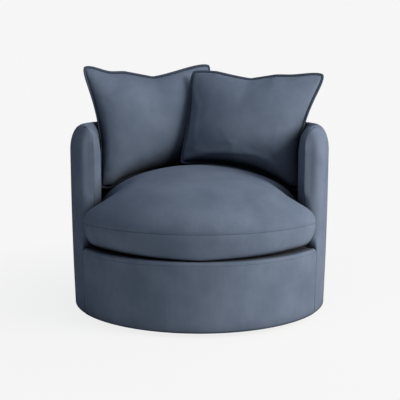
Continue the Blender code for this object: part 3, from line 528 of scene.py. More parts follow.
# %% Outer panel
WALL_WALK = WALL_RADIUS * math.radians(ARM_ANGLE)
NOSE_WALK = WALL_HALF * math.radians(SEAM_TURN + 90)
NEAR_SEAM = [0.0, 0.2 * MM, 0.9 * MM, 1.9 * MM, 3.2 * MM, 5 * MM, 8 * MM, 12 * MM]
SLIT = 0.25 * MM
TUCK = 5 * MM
END_TUCK = 3 * MM
TURNED_IN = [("turned in", step * MM) for step in (26, 12, 2)]


def outer_turn(walk):
    """Which side and turn a walk along the outside has come to, or the wall's angle."""
    past = abs(walk) - WALL_WALK
    if past <= 0:
        return 0, math.degrees(walk / WALL_RADIUS)
    return (1 if walk > 0 else -1), -90 + math.degrees(past / WALL_HALF)


def outer_place(walk, row):
    side, turn = outer_turn(walk)
    top = (seam_height(turn) if side else SEAM_RIM) - SLIT
    kind, value = row
    if kind == "turned in":
        height, depth = HEM_HEIGHT, 0.0
    elif kind == "tucked":
        height, depth = top, TUCK
    elif kind == "below seam":
        height, depth = top - value, 0.0
    else:
        height, depth = HEM_HEIGHT + value * (top - NEAR_SEAM[-1] - HEM_HEIGHT), 0.0
    if kind != "tucked":
        depth = valley(turn, height) if side else valley(-90, height)
    end = WALL_WALK + NOSE_WALK - SLIT
    if abs(walk) >= end - 0.001 * MM and kind != "tucked":
        depth += END_TUCK
    place = nose_point(side, turn, height, depth) if side else wall_point(1, turn, height, depth)
    if kind == "turned in":
        place *= 1 - value / HEM_RADIUS
        place.z = HEM_HEIGHT
    return place


half_walk = list(np.linspace(0, WALL_WALK, 78))
half_walk += list(WALL_WALK + np.linspace(0, NOSE_WALK - 14 * MM, 15)[1:])
half_walk += [WALL_WALK + NOSE_WALK - near - SLIT for near in reversed(NEAR_SEAM)]
walks = [-w for w in half_walk[:0:-1]] + half_walk
outer_rows = TURNED_IN + [("up", share) for share in np.linspace(0.003, 1, 74)]
outer_rows += [("below seam", near) for near in reversed(NEAR_SEAM[:-1])]
outer_rows += [("tucked", 0)]
outer_panel_cloth = sewn("outer_panel_cloth", [laid_panel("outer", walks, outer_rows, outer_place)])
face_away(outer_panel_cloth, wall_middle)
thicken(outer_panel_cloth, COVER)
finish_piece(outer_panel_cloth, slate_cloth, "tub", "outer_cover")

# %% [markdown]
# ## The inner panel
# The inner panel lines the tub, goes over the rim and meets the outer panel at the seam. On the wall it
# is two grids that meet on the rim's crest: one from the foot inside up to the crest, one from there
# down to the seam outside. On each nose it is two fans of columns that meet at the top. Because the
# rows are the same, all the grids fit together.

# %% Places of the inner panel
RIM_SHARES = [0.0, 0.008, 0.020, 0.036, 0.06, 0.09, 0.13, 0.18, 0.25]
RIM_SHARES += [0.34, 0.44, 0.55, 0.66, 0.77, 0.88, 0.95, 1.0]
CLOSE_ROWS_END = 0.278


def rim_angle(height):
    """The angle on the rim's ellipse at this height."""
    return math.degrees(math.asin(min(1.0, max(0.0, (height - RIM_SPRING) / RIM_RISE))))


def rim_height(angle, depth=0.0):
    return RIM_SPRING + (RIM_RISE - depth) * math.sin(math.radians(angle))


INNER_HEIGHTS = list(np.linspace(INNER_FOOT, DECK_HEIGHT, 5))
INNER_HEIGHTS += list(np.linspace(DECK_HEIGHT, CLOSE_ROWS_END, 7)[1:])
INNER_HEIGHTS += list(np.linspace(CLOSE_ROWS_END, RIM_SPRING, 26)[1:])
START_ANGLE = rim_angle(SEAM_START + SLIT)
inner_rows = [("up", z) for z in INNER_HEIGHTS] + [("rim", share) for share in RIM_SHARES]


def fan_place(side, turn, row):
    """A crossing of the inner panel on a nose, or at the wall's end where the turn is 90 or -90."""
    kind, value = row
    start = START_ANGLE if turn >= SEAM_TURN else rim_angle(seam_height(turn) + SLIT)
    if kind == "up":
        return nose_point(side, turn, value, valley(turn, value))
    if kind == "tucked":
        return nose_point(side, turn, seam_height(turn) + SLIT, TUCK)
    angle = start + (90 - start) * value
    depth = valley(turn, rim_height(angle))
    half = (WALL_HALF - depth) * math.cos(math.radians(angle))
    lean = math.radians(turn)
    arm = side * ARM_ANGLE
    middle = polar(WALL_MIDDLE, arm, rim_height(angle, depth))
    forward = polar(1, arm + side * 90) * squarer(rim_height(angle))
    across = forward * math.cos(lean) - polar(1, arm) * math.sin(lean)
    return middle + half * across


def inner_wall_place(angle, row):
    kind, value = row
    if kind == "up":
        return wall_point(-1, angle, value)
    lean = START_ANGLE + (90 - START_ANGLE) * value
    return polar(WALL_MIDDLE - WALL_HALF * math.cos(math.radians(lean)), angle, rim_height(lean))


def outer_rim_place(angle, row):
    kind, value = row
    if kind == "tucked":
        return wall_point(1, angle, SEAM_RIM + SLIT, TUCK)
    start = rim_angle(SEAM_RIM + SLIT)
    lean = start + (90 - start) * value
    depth = valley(-90, rim_height(lean))
    radius = WALL_MIDDLE + (WALL_HALF - depth) * math.cos(math.radians(lean))
    return polar(radius, angle, rim_height(lean, depth))

# %% [markdown]
# ## Sewing the inner panel
# The grids are laid and joined into one piece of cloth. On each nose the columns of the first fan stand
# between the seam and the inside of the wall, and those of the arch run over the top to the outside.

# %% Inner panel
wall_stations = [math.degrees(w / WALL_RADIUS) for w in np.linspace(-WALL_WALK, WALL_WALK, 155)]
panels = [laid_panel("inner", wall_stations, inner_rows, inner_wall_place)]
top_rows = [("tucked", 0)] + [("rim", share) for share in RIM_SHARES]
panels.append(laid_panel("rim", wall_stations, top_rows, outer_rim_place))
inside_turns = [SEAM_TURN + math.degrees((SLIT + near) / WALL_HALF) for near in NEAR_SEAM]
inside_turns = inside_turns + list(np.linspace(inside_turns[-1], 90, 9)[1:])
arch_turns = list(-90 + (SEAM_TURN + 90) * np.sin(np.linspace(0, math.pi / 2, 34))) + [inside_turns[0]]
for side in (-1, 1):
    panels.append(laid_panel("fan", inside_turns, inner_rows, lambda t, row: fan_place(side, t, row)))
    panels.append(laid_panel("arch", arch_turns, top_rows, lambda t, row: fan_place(side, t, row)))
inner_panel_cloth = sewn("inner_panel_cloth", panels)
face_away(inner_panel_cloth, wall_middle)
thicken(inner_panel_cloth, COVER)
finish_piece(inner_panel_cloth, slate_cloth, "tub", "inner_cover")

# %% [markdown]
# ## The front band
# A padded band closes the drum between the arms. Its top edge is rolled over the deck's edge, its upper
# corners are rounded, and a line of stitches runs 13 mm below its top. It is laid as one grid from the
# turned-in hem over the face and the roll to the lip behind it, drawn in at its two side seams.

# %% Front band
BAND_CORNER = 16 * MM
BAND_ROLL = 9 * MM
BAND_LIP_RADIUS = WALL_RADIUS - 40 * MM
BAND_END = math.radians(180 - JOIN_ANGLE) * WALL_RADIUS - 0.4 * MM
STITCH_DROP = 13 * MM
STITCH_DEPTH = 0.9 * MM
STITCH_WIDTH = 2.2 * MM
SIDE_SEAM_DEPTH = 2.2 * MM
BAND_MIDDLE = 0.400
BELOW_ROLL = 0.2


def band_angle(walk):
    """The angle that a walk along the band from its middle has come to."""
    return 180 - math.degrees(walk / WALL_RADIUS)


def band_sections(walk):
    """How far the band's top drops at its rounded corner, and how far its side is drawn in."""
    to_end = BAND_END - abs(walk)
    short = max(0.0, BAND_CORNER - to_end)
    drop = BAND_CORNER - math.sqrt(max(0.0, BAND_CORNER**2 - short**2))
    return drop, SIDE_SEAM_DEPTH * math.exp(-((to_end / SEAM_WIDTH) ** 2))


def band_place(walk, row):
    angle = band_angle(walk)
    drop, drawn = band_sections(walk)
    top = DECK_HEIGHT - drop
    spring = top - BAND_ROLL
    kind, value = row
    if kind == "turned in":
        return polar(HEM_RADIUS - value - drawn, angle, HEM_HEIGHT)
    if kind == "up":
        height = HEM_HEIGHT + value * (spring - HEM_HEIGHT)
        stitch = STITCH_DEPTH * math.exp(-(((height - (top - STITCH_DROP)) / STITCH_WIDTH) ** 2))
        return polar(outside_radius(height) - drawn - stitch, angle, height)
    middle = outside_radius(spring) - BAND_ROLL
    roll = BAND_ROLL - drawn
    if kind == "roll":
        lean = math.radians(value)
        return polar(middle + roll * math.cos(lean), angle, spring + roll * math.sin(lean))
    return polar(middle + (BAND_LIP_RADIUS - middle) * value, angle, spring + roll)


def band_core(point):
    """A place in the band's padding beside this point."""
    return polar(BAND_MIDDLE, math.degrees(math.atan2(point.x, point.y)), min(point.z, BELOW_ROLL))


half_band = list(np.linspace(0, BAND_END - 18 * MM, 44))
half_band += [BAND_END - step * MM for step in (15, 12, 9, 6.5, 4.5, 3, 1.8, 0.8, 0.0)]
band_walks = [-w for w in half_band[:0:-1]] + half_band
band_rows = TURNED_IN + [("up", share) for share in np.linspace(0.004, 0.90, 24)]
band_rows += [("up", share) for share in np.linspace(0.91, 1.0, 14)]
band_rows += [("roll", lean) for lean in np.linspace(0, 90, 10)[1:]]
band_rows += [("lip", share) for share in (0.3, 0.65, 1.0)]
front_band_cloth = sewn("front_band_cloth", [laid_panel("band", band_walks, band_rows, band_place)])
face_away(front_band_cloth, band_core)
thicken(front_band_cloth, COVER)
finish_piece(front_band_cloth, slate_cloth, "tub", "band_cover")

# %% [markdown]
# ## Stitches on the band
# The line below the roll is topstitching: single stitches 5.2 mm long with a small gap between them.
# One stitch is modelled as a long thin bead and copied along the band, sunk to about half its thickness
# in the line that it draws in.

# %% Topstitching
STITCH = 5.2 * MM
STITCH_PITCH = 6.4 * MM
STITCH_RADIUS = 0.45 * MM
STITCH_SUNK = 0.1 * MM
STITCH_START = 10 * MM


def stitch_line(name, places, body):
    """A row of stitches: places gives the middle and the direction of each one."""
    deselect()
    bpy.ops.mesh.primitive_uv_sphere_add(segments=6, ring_count=4, radius=1.0)
    model = bpy.context.object
    shape = [v.co.copy() for v in model.data.vertices]
    faces = [tuple(p.vertices) for p in model.data.polygons]
    bpy.data.objects.remove(model)
    points, polygons = [], []
    for middle, along, out in places:
        across = along.cross(out).normalized()
        first = len(points)
        for p in shape:
            lift = out * (p.y * STITCH_RADIUS - STITCH_SUNK)
            points.append(middle + along * (p.z * STITCH / 2) + across * (p.x * STITCH_RADIUS) + lift)
        polygons += [tuple(first + i for i in face) for face in faces]
    data = bpy.data.meshes.new(name)
    data.from_pydata([tuple(p) for p in points], [], polygons)
    row = bpy.data.objects.new(name, data)
    bpy.context.scene.collection.objects.link(row)
    pick(row)
    bpy.ops.object.shade_smooth()
    finish_piece(row, thread_dark, body)


band_places = []
for k in range(int(2 * (BAND_END - STITCH_START) / STITCH_PITCH)):
    walk = -(BAND_END - STITCH_START) + (k + 0.5) * STITCH_PITCH
    angle = band_angle(walk)
    drop, drawn = band_sections(walk)
    height = DECK_HEIGHT - drop - STITCH_DROP
    middle = polar(outside_radius(height) - drawn - STITCH_DEPTH, angle, height)
    band_places.append((middle, polar(1, angle + 90), polar(1, angle)))
stitch_line("band_topstitching", band_places, "tub")

# %% [markdown]
# ## The seat cushion's outline
# Seen from above, the cushion's seam is a round front, a lobe in front of each arm, a neck round each
# nose and a round back inside the tub. It is drawn from arcs that touch each other, so that the outline
# has no corner. The lobe's arc touches both the front arc and the arc round the nose.

# %% Cushion outline
CUSHION_RADIUS = 0.455
CUSHION_FOOT = DECK_HEIGHT + 0.3 * MM
CUSHION_SEAM = 0.324
CUSHION_CROWN = 0.487
LOBE_FOOT_INSET = 0.058
FRONT_FOOT_INSET = 0.018
FULL_INSET_TURN = 42.0
SQUEEZE_REACH = 0.120
LOBE_ANGLE = 124.2
NECK = WALL_HALF + 4 * MM
BROAD_HALF = 26


def cushion_outline(back=34, neck=12, tip=18, front=22):
    """Points round the seam, seen from above, clockwise from the middle of the back."""
    nose = polar(WALL_MIDDLE, ARM_ANGLE)
    way = polar(1.0, LOBE_ANGLE)
    along = way.dot(nose)
    lobe = (CUSHION_RADIUS**2 - 2 * CUSHION_RADIUS * along + nose.length**2 - NECK**2) / (
        2 * (CUSHION_RADIUS - along + NECK)
    )
    centre = way * (CUSHION_RADIUS - lobe)
    to_nose = nose - centre
    turn = math.degrees(math.atan2(to_nose.x, to_nose.y))
    right = [polar(WALL_MIDDLE - NECK, a) for a in np.linspace(0, ARM_ANGLE, back)]
    right += [nose + polar(NECK, a) for a in np.linspace(180 + ARM_ANGLE, 180 + turn, neck)[1:]]
    right += [centre + polar(lobe, a) for a in np.linspace(turn, LOBE_ANGLE, tip)[1:]]
    right += [polar(CUSHION_RADIUS, a) for a in np.linspace(LOBE_ANGLE, 180, front)[1:]]
    return right + [Vector((-p.x, p.y, 0)) for p in right[-2:0:-1]]


OUTLINE = cushion_outline()
OUTLINE_ANGLES = [math.atan2(p.x, p.y) for p in OUTLINE]
ORDER = np.argsort(OUTLINE_ANGLES)
SORTED_ANGLES = np.array(OUTLINE_ANGLES)[ORDER]
SORTED_REACH = np.array([OUTLINE[i].length for i in ORDER])

# The broad reach is the mean of the outline's reach over BROAD_HALF degrees to either side.
BROAD_TURNS = np.linspace(-math.pi, math.pi, 181)
BROAD_REACH = np.mean(
    [
        np.interp(BROAD_TURNS + math.radians(aside), SORTED_ANGLES, SORTED_REACH, period=2 * math.pi)
        for aside in np.linspace(-BROAD_HALF, BROAD_HALF, 27)
    ],
    axis=0,
)


def cushion_reach(x, y):
    return float(np.interp(math.atan2(x, y), SORTED_ANGLES, SORTED_REACH, period=2 * math.pi))


def broad_reach(x, y):
    """The same reach without the corners of the lobes, for the middle of the dome."""
    return float(np.interp(math.atan2(x, y), BROAD_TURNS, BROAD_REACH))


print("cushion outline:", len(OUTLINE), "points, neck radius", round(NECK / MM, 1), "mm")

# %% [markdown]
# ## The seat cushion's height
# The underside starts in from the seam, least in the middle of the front. The dome falls off as an
# ellipse from the axis to the seam. Drawn with the true reach alone, the lobes would send ridges up the
# dome, so the broad reach counts in the middle and the true one near the seam.

# %% Height of the dome
def foot_inset(point):
    """How far in from the seam the underside starts: it is fuller in the middle of the front."""
    from_front = 180 - abs(math.degrees(math.atan2(point.x, point.y)))
    aside = min(1.0, from_front / FULL_INSET_TURN)
    return FRONT_FOOT_INSET + (LOBE_FOOT_INSET - FRONT_FOOT_INSET) * aside


def crown_share(share, x, y):
    """The height over the seam as a share of the crown's. The share that comes in is 0 on the axis
    and 1 at the seam. Each nose of the arms squeezes the cushion lower beside it."""
    broad = math.hypot(x, y) / broad_reach(x, y)
    share = min(1.0, broad + (share - broad) * smooth(share) ** 2)
    dome = math.sqrt(max(0.0, 1 - share**2))
    for side in (-1, 1):
        nose = polar(WALL_MIDDLE, side * ARM_ANGLE)
        away = math.hypot(x - nose.x, y - nose.y) - NECK
        near = 1 - min(1.0, max(0.0, away) / SQUEEZE_REACH)
        kept = math.sqrt(1 - near**2)
        dome = dome * kept / max(1e-9, dome + kept - dome * kept)
    return dome


def out_of_noses(point, margin=4 * MM):
    """The cushion is soft enough to fit round the arms' noses."""
    for side in (-1, 1):
        nose = polar(WALL_MIDDLE, side * ARM_ANGLE, point.z)
        away = point - nose
        keep = half_thickness(point.z, 0.0) + margin
        if 0 < away.length < keep:
            point = nose + away.normalized() * keep
    return point

# %% [markdown]
# ## Cushions by cloth simulation
# A cushion looks soft because its cloth is pushed out by the filling and held back by its seams. We let
# Blender's Cloth do that: the closed shape is blown up for a few frames with no gravity. The
# photographed cushions are almost free of creases, so each point keeps only a share of that movement.

# %% Blow-up helper
def blow_up(piece, pressure, frames, furthest, share, pinned=None, stiffness=15.0, shrink=0.0):
    """Puffs the piece out with Cloth, then moves each point by a share of what it moved there."""
    start = [v.co.copy() for v in piece.data.vertices]
    cloth = piece.modifiers.new("filling", "CLOTH")
    settings = cloth.settings
    settings.quality = 6
    settings.mass = 0.25
    settings.tension_stiffness = stiffness
    settings.compression_stiffness = stiffness
    settings.shear_stiffness = stiffness / 2
    settings.bending_stiffness = 0.6
    settings.use_pressure = True
    settings.uniform_pressure_force = pressure
    settings.effector_weights.gravity = 0
    settings.shrink_min = shrink
    if pinned:
        settings.vertex_group_mass = pinned
    cloth.point_cache.frame_start = 1
    cloth.point_cache.frame_end = frames
    scene = bpy.context.scene
    for step in range(1, frames + 1):
        scene.frame_set(step)
    shaped = piece.evaluated_get(bpy.context.evaluated_depsgraph_get())
    blown = [v.co.copy() for v in shaped.data.vertices]
    piece.modifiers.remove(cloth)
    scene.frame_set(1)
    most = 0.0
    for point, old, new in zip(piece.data.vertices, start, blown):
        move = new - old
        if not all(math.isfinite(c) for c in move):
            continue
        most = max(most, move.length)
        if move.length > furthest:
            move = move.normalized() * furthest
        point.co = old + move * share
    print(piece.name, "blown up, furthest", round(most / MM, 1), "mm")

# %% [markdown]
# ## The seat cushion
# The closed form is a flat underside, a rounded lower half, the seam, and a high crown. It is laid on a
# grid that runs once round the outline and from the middle of the underside to the crown, then remeshed
# so that the cloth has even squares, and blown up from a slightly smaller start.

# %% Seat cushion
SWELL = 3 * MM
UNDER_SWELL = SWELL * 0.3
CLOTH_SQUARE = 7 * MM
CUSHION_ROWS = [("under", share) for share in (0.0, 0.5, 0.85)]
CUSHION_ROWS += [("low", a) for a in (90, 78, 66, 54, 42, 30, 20, 10)]
CUSHION_ROWS += [("high", a) for a in range(0, 28, 4)]
CUSHION_ROWS += [("high", a) for a in range(28, 48, 5)]
CUSHION_ROWS += [("high", a) for a in range(48, 91, 6)]


def cushion_place(station, row):
    edge = OUTLINE[station % len(OUTLINE)]
    kind, value = row
    if kind == "under":
        flat = edge * (1 - foot_inset(edge) / edge.length) * value
        return flat + Vector((0, 0, CUSHION_FOOT + UNDER_SWELL))
    lean = math.radians(value)
    if kind == "low":
        inset = foot_inset(edge) * (1 - math.cos(lean)) + SWELL
        drop = (CUSHION_SEAM - CUSHION_FOOT - UNDER_SWELL) * math.sin(lean)
        return out_of_noses(edge * (1 - inset / edge.length) + Vector((0, 0, CUSHION_SEAM - drop)))
    share = math.cos(lean)
    rise = (CUSHION_CROWN - CUSHION_SEAM - SWELL) * crown_share(share, edge.x * share, edge.y * share)
    place = edge * (1 - SWELL / edge.length) * share + Vector((0, 0, CUSHION_SEAM + rise))
    return out_of_noses(place)


ring = list(range(len(OUTLINE) + 1))
seat_cushion_cloth = sewn("seat_cushion_cloth", [laid_panel("seat", ring, CUSHION_ROWS, cushion_place)])
seat_cushion_cloth.data.remesh_voxel_size = CLOTH_SQUARE
bpy.ops.object.voxel_remesh()
blow_up(seat_cushion_cloth, pressure=3.0, frames=16, furthest=6 * MM, share=0.35)
print("seat cushion:", len(seat_cushion_cloth.data.vertices), "points")

# %% [markdown]
# ## Seating the cushion
# After the blow-up whatever sank below the deck or came too near the wall or the noses is moved back,
# as the cushion would be when it is pushed into the tub. Then one subdivision rounds off the small
# squares, and the cloth is drawn in along the seam.

# %% Seat the cushion and draw in its seam
CLEARANCE = 1.5 * MM
FRONT_LIMIT = 0.461
SEWN_DEPTH = 1.6 * MM
SEWN_WIDTH = 4.5 * MM
SEWN_REACH = 20 * MM


def draw_within(point, limit):
    """Moves a point straight in towards the axis where it stands further out than the limit."""
    reach = math.hypot(point.x, point.y)
    if reach > limit:
        point.x *= limit / reach
        point.y *= limit / reach


def seat_back(point):
    """Keeps a point of the cushion above the deck and clear of the tub."""
    point = point.copy()
    point.z = max(point.z, CUSHION_FOOT)
    angle = abs(math.degrees(math.atan2(point.x, point.y)))
    draw_within(point, WALL_INNER - CLEARANCE if angle < ARM_ANGLE else FRONT_LIMIT)
    return out_of_noses(point, CLEARANCE)


def subdivide(piece):
    pick(piece)
    finer = piece.modifiers.new("finer", "SUBSURF")
    finer.levels = 1
    finer.render_levels = 1
    bpy.ops.object.modifier_apply(modifier=finer.name)
    bpy.ops.object.shade_smooth()


for point in seat_cushion_cloth.data.vertices:
    point.co = seat_back(point.co)
subdivide(seat_cushion_cloth)
for point in seat_cushion_cloth.data.vertices:
    above = point.co.z - CUSHION_SEAM
    if abs(above) < SEWN_REACH:
        drawn = SEWN_DEPTH * math.exp(-((above / SEWN_WIDTH) ** 2))
        flat = Vector((point.co.x, point.co.y, 0))
        point.co -= flat.normalized() * drawn
    point.co = seat_back(point.co)
finish_piece(seat_cushion_cloth, slate_cloth, "seat_cushion", "seat_cushion")
seat_tree = BVHTree.FromObject(seat_cushion_cloth, bpy.context.evaluated_depsgraph_get())

# %% [markdown]
# ## The cushion's seam
# The seam shows as a fine dark line, where the two edges of cloth turn in and lie in shade. It is made as
# a thin cord of dark thread, which stands for the seam's thread and, as painted shade, for the shade in
# the fold. The cord follows the cushion's own surface: at each degree round the axis, a ray straight out
# from the axis finds the surface, and the cord lies just sunk in it.

# %% Seam cord helper and the seat cushion's seam
def closed_cord(name, route, radius, material, body):
    """A thin round cord along a closed route, made into a mesh."""
    data = bpy.data.curves.new(name, "CURVE")
    data.dimensions = "3D"
    data.bevel_depth = radius
    data.bevel_resolution = 2
    line = data.splines.new("POLY")
    line.points.add(len(route) - 1)
    for point, place in zip(line.points, route):
        point.co = (*place, 1.0)
    line.use_cyclic_u = True
    made = bpy.data.objects.new(name, data)
    bpy.context.scene.collection.objects.link(made)
    pick(made)
    bpy.ops.object.convert(target="MESH")
    bpy.ops.object.shade_smooth()
    finish_piece(made, material, body)


SEAM_CORD = 0.7 * MM
SEAM_SUNK = 0.2 * MM
seam_route = []
for angle in np.linspace(0, 360, 361)[:-1]:
    way = polar(1.0, float(angle))
    hit = seat_tree.ray_cast(Vector((0, 0, CUSHION_SEAM)), way)[0]
    seam_route.append(hit - way * SEAM_SUNK)
# Painted shade: the dark cord also stands for the shade in the seam's fold.
closed_cord("seat_cushion_seam", seam_route, SEAM_CORD, thread_dark, "seat_cushion")

# %% [markdown]
# ## Scatter cushions
# Each scatter cushion is two squares of cloth sewn edge to edge with a piping between them. It stands on
# the seat cushion and leans on the tub. Its corners are turned with a small round, its sides are drawn
# in between them, and a light chop with the hand has left a dip in the upper edge. The two cushions
# differ, so each has its own sizes: the corners at its top and foot, the way that its front swells, how
# far its upper edge sags between the corners and dips at the chop, and how far each side is drawn in. A
# reach is a share of half the width, first to the left, then to the right. A bow sets the left side
# back, and fuller makes the right side thicker.

# %% Sizes of the scatter cushions
PILLOW_STEPS = 56
FLANGE_HALF_WIDTH = 5.2 * MM
FLANGE_HALF_THICKNESS = 2.1 * MM
LEFT_PILLOW = {
    "top": ((-0.418, 0.100, 0.833), (0.041, 0.306, 0.844)),
    "foot": ((-0.352, 0.030), (0.010, 0.300)),
    "swell": (0.38, -0.90, 0.22),
    "scoop": 27 * MM,
    "scoop_reach": (0.45, 1.0),
    "chop": 22 * MM,
    "chop_place": 0.07,
    "chop_reach": (0.45, 0.93),
    "sides": (31 * MM, 12 * MM),
    "bow": 0.0,
    "fuller": 0.38,
}
RIGHT_PILLOW = {
    "top": ((-0.026, 0.190, 0.816), (0.444, 0.070, 0.806)),
    "foot": ((-0.065, 0.098), (0.352, -0.008)),
    "swell": (-0.30, -0.92, 0.25),
    "scoop": 12 * MM,
    "scoop_reach": (0.9, 0.55),
    "chop": 16 * MM,
    "chop_place": -0.10,
    "chop_reach": (0.52, 0.39),
    "sides": (10 * MM, 39 * MM),
    "bow": 12 * MM,
    "fuller": 0.0,
}
print("scatter cushions: grids of", PILLOW_STEPS, "by", PILLOW_STEPS, "squares")

# %% [markdown]
# ## Room for the scatter cushions
# A scatter cushion gives way where it meets the seat cushion or the wall. For each point we look up how
# high the seat cushion stands below it and how far out the wall lets it go, and move it clear of both.

# %% Keep a scatter cushion clear
EDGE_SHARE = 0.90
RESTING_GAP = 0.5 * MM
WALL_GAP = 3 * MM
ABOVE_DOME = 0.60


def resting_height(x, y):
    """The height of the seat cushion's top over a point. A scatter cushion doesn't follow its
    steep edge down, but stays level with where that starts."""
    share = math.hypot(x, y) / cushion_reach(x, y)
    back = min(1.0, EDGE_SHARE / max(share, 1e-9))
    rise = (CUSHION_CROWN - CUSHION_SEAM) * crown_share(share * back, x * back, y * back)
    hit = seat_tree.ray_cast(Vector((x * back, y * back, ABOVE_DOME)), Vector((0, 0, -1)))[0]
    return max(CUSHION_SEAM + rise, hit.z if hit else 0.0)


def wall_limit(height, margin):
    """How far from the axis a cushion may reach at this height."""
    if height > RIM_HEIGHT + margin:
        return math.inf
    return WALL_MIDDLE - half_thickness(height, 0.0) - margin


def kept_clear(point, thickness):
    """Moves a point of a scatter cushion out of the wall and of the seat cushion."""
    point = point.copy()
    draw_within(point, wall_limit(point.z, WALL_GAP + thickness))
    point.z = max(point.z, resting_height(point.x, point.y) + RESTING_GAP + thickness)
    return point

# %% [markdown]
# ## The sheet and its swelling
# A cushion is laid as a front grid and a back grid on either side of a middle sheet, which is stretched
# between the four corners. Both swell from the sheet most in the middle, and a little more towards the
# foot, because the filling sinks.

# %% Scatter cushion form
PILLOW_THICKNESS = 0.078
BACK_SHARE = 0.80
EAR_CUT = 0.036
FOOT_CUT = 0.020
CORNER_POWER = 8
SIDE_POWER = 1.3
EDGE_POWER = 0.52
FOOT_ROUNDER = 0.16
SINKING = 0.18
FOOT_LIFT = 1.8 * FLANGE_HALF_WIDTH


def middle_sheet(sizes, u, v):
    """The sheet that the cushion swells from, u from left to right and v from foot to top."""
    # The corners are turned with a small round, so the sheet is cut back a little there.
    cut = 1 - (EAR_CUT if v > 0 else FOOT_CUT) * (u * v) ** CORNER_POWER
    u, v = u * cut, v * cut
    top_left, top_right = (Vector(p) for p in sizes["top"])
    foot_left, foot_right = (Vector((*p, 0.0)) for p in sizes["foot"])
    across = (top_right - top_left).normalized()
    top = top_left.lerp(top_right, (1 + u) / 2)
    side = 0 if u < sizes["chop_place"] else 1
    off = abs(u - sizes["chop_place"]) / sizes["chop_reach"][side]
    scoop = smooth((1 - abs(u)) / sizes["scoop_reach"][side])
    top.z -= sizes["scoop"] * scoop + sizes["chop"] * max(0.0, 1 - off)
    foot = foot_left.lerp(foot_right, (1 + u) / 2)
    foot.z = resting_height(foot.x, foot.y) + RESTING_GAP + FOOT_LIFT
    inward = -(u**3) * sizes["sides"][0 if u < 0 else 1] * (1 - v * v) ** SIDE_POWER
    bowed = Vector((0, sizes["bow"] * min(u, 0.0) ** 2 * (1 - v * v), 0))
    return foot.lerp(top, (1 + v) / 2) + across * inward + bowed


def swelling(u, v, fuller):
    """How far the front stands out from the middle sheet. The filling sinks, so the foot is rounder."""
    roundness = EDGE_POWER if v > 0 else EDGE_POWER - FOOT_ROUNDER * v * v
    form = ((1 - u * u) ** EDGE_POWER) * ((1 - v * v) ** roundness)
    return PILLOW_THICKNESS * form * (1 - SINKING * v) * (1 + fuller * smooth((u + 0.2) / 0.8))


def pillow_form(name, sizes):
    """The cushion's closed form: a front and a back grid, sewn together round the edge."""
    swell = Vector(sizes["swell"]).normalized()
    # The steps are closer near the edge, where the cloth curves most.
    steps = [math.sin(math.pi / 2 * t) * 0.5 + t * 0.5 for t in np.linspace(-1, 1, PILLOW_STEPS + 1)]
    count = list(range(PILLOW_STEPS + 1))
    sheet = {(i, j): middle_sheet(sizes, steps[i], steps[j]) for i in count for j in count}

    def swollen(way, fuller):
        """The places of one side, which swells this way from the sheet."""

        def place(i, j):
            out = swell * swelling(steps[i], steps[j], fuller) * way
            return kept_clear(sheet[i, j] + out, 0)

        return place

    front = laid_panel("front", count, count, swollen(1.0, sizes["fuller"]))
    back = laid_panel("back", count, count, swollen(-BACK_SHARE, 0.0))
    return sewn(name, [front, back]), sheet

# %% [markdown]
# ## Filling the scatter cushions
# The edge is held while the cloth is blown up, because the piping keeps its length. After that each
# point is moved out of the seat cushion and of the wall, as the filling gives way where the cushion
# leans.

# %% Make both scatter cushions
ON_EDGE = 1 * MM
FLANGE_SHIFT = 0.60


def hold_edge(piece, sheet):
    """Pins the points on the edge and leaves the rest of the cloth free."""
    group = piece.vertex_groups.new(name="edge")
    last = PILLOW_STEPS
    rim = [p for (i, j), p in sheet.items() if i in (0, last) or j in (0, last)]
    rim = np.array([tuple(kept_clear(p, 0)) for p in rim])
    for point in piece.data.vertices:
        away = np.linalg.norm(rim - np.array(point.co), axis=1).min()
        if away < ON_EDGE:
            group.add([point.index], 1.0, "REPLACE")


def flanged_edge(name, sheet):
    """The flat piping: a narrow rounded strip of doubled cloth that stands out all round."""
    last = PILLOW_STEPS
    rim = [(i, last) for i in range(last)] + [(last, last - j) for j in range(last)]
    rim += [(last - i, 0) for i in range(last)] + [(0, j) for j in range(last)]
    edge = [kept_clear(sheet[p], FLANGE_HALF_THICKNESS) for p in rim]
    centre = sheet[last // 2, last // 2]

    def ring_place(station, turn):
        here = edge[station % len(edge)]
        along = (edge[(station + 1) % len(edge)] - edge[station % len(edge) - 1]).normalized()
        away = here - centre
        away -= away.project(along)
        away.normalize()
        out = along.cross(away)
        lean = math.radians(turn)
        reach = FLANGE_HALF_WIDTH * (FLANGE_SHIFT + math.cos(lean))
        place = here + away * reach + out * FLANGE_HALF_THICKNESS * math.sin(lean)
        return kept_clear(place, 0)

    strip = laid_panel(name, list(range(len(edge) + 1)), list(np.linspace(0, 360, 13)), ring_place)
    strip = sewn(name, [strip])
    pick(strip)
    bpy.ops.object.shade_smooth()
    return strip


def scatter_cushion(word, sizes):
    piece, sheet = pillow_form(word + "_pillow_cloth", sizes)
    hold_edge(piece, sheet)
    blow_up(piece, pressure=2.5, frames=18, furthest=9 * MM, share=0.25, pinned="edge", shrink=-0.015)
    for point in piece.data.vertices:
        point.co = kept_clear(point.co, 0)
    subdivide(piece)
    for point in piece.data.vertices:
        point.co = kept_clear(point.co, 0)
    body = word + "_pillow"
    finish_piece(piece, slate_cloth, body, body)
    piping = flanged_edge(body + "_piping_cloth", sheet)
    finish_piece(piping, piping_cloth, body, body + "_piping")


scatter_cushion("left", LEFT_PILLOW)
scatter_cushion("right", RIGHT_PILLOW)

# %% [markdown]
# ## Hidden pieces
# The frame under the cloth keeps its own solids and gets its own finishes: birch plywood with fine
# grain, sawn pine, brown hardboard, zinc-plated steel, brass, felt, foam and black lining cloth. None
# of it shows in the photograph. One function makes them all, from two tones and one pattern of noise.

# %% Helper for the hidden finishes
DARK_PLACE = 0.32
PALE_PLACE = 0.68
ROUGHNESS_PLAY = 0.06


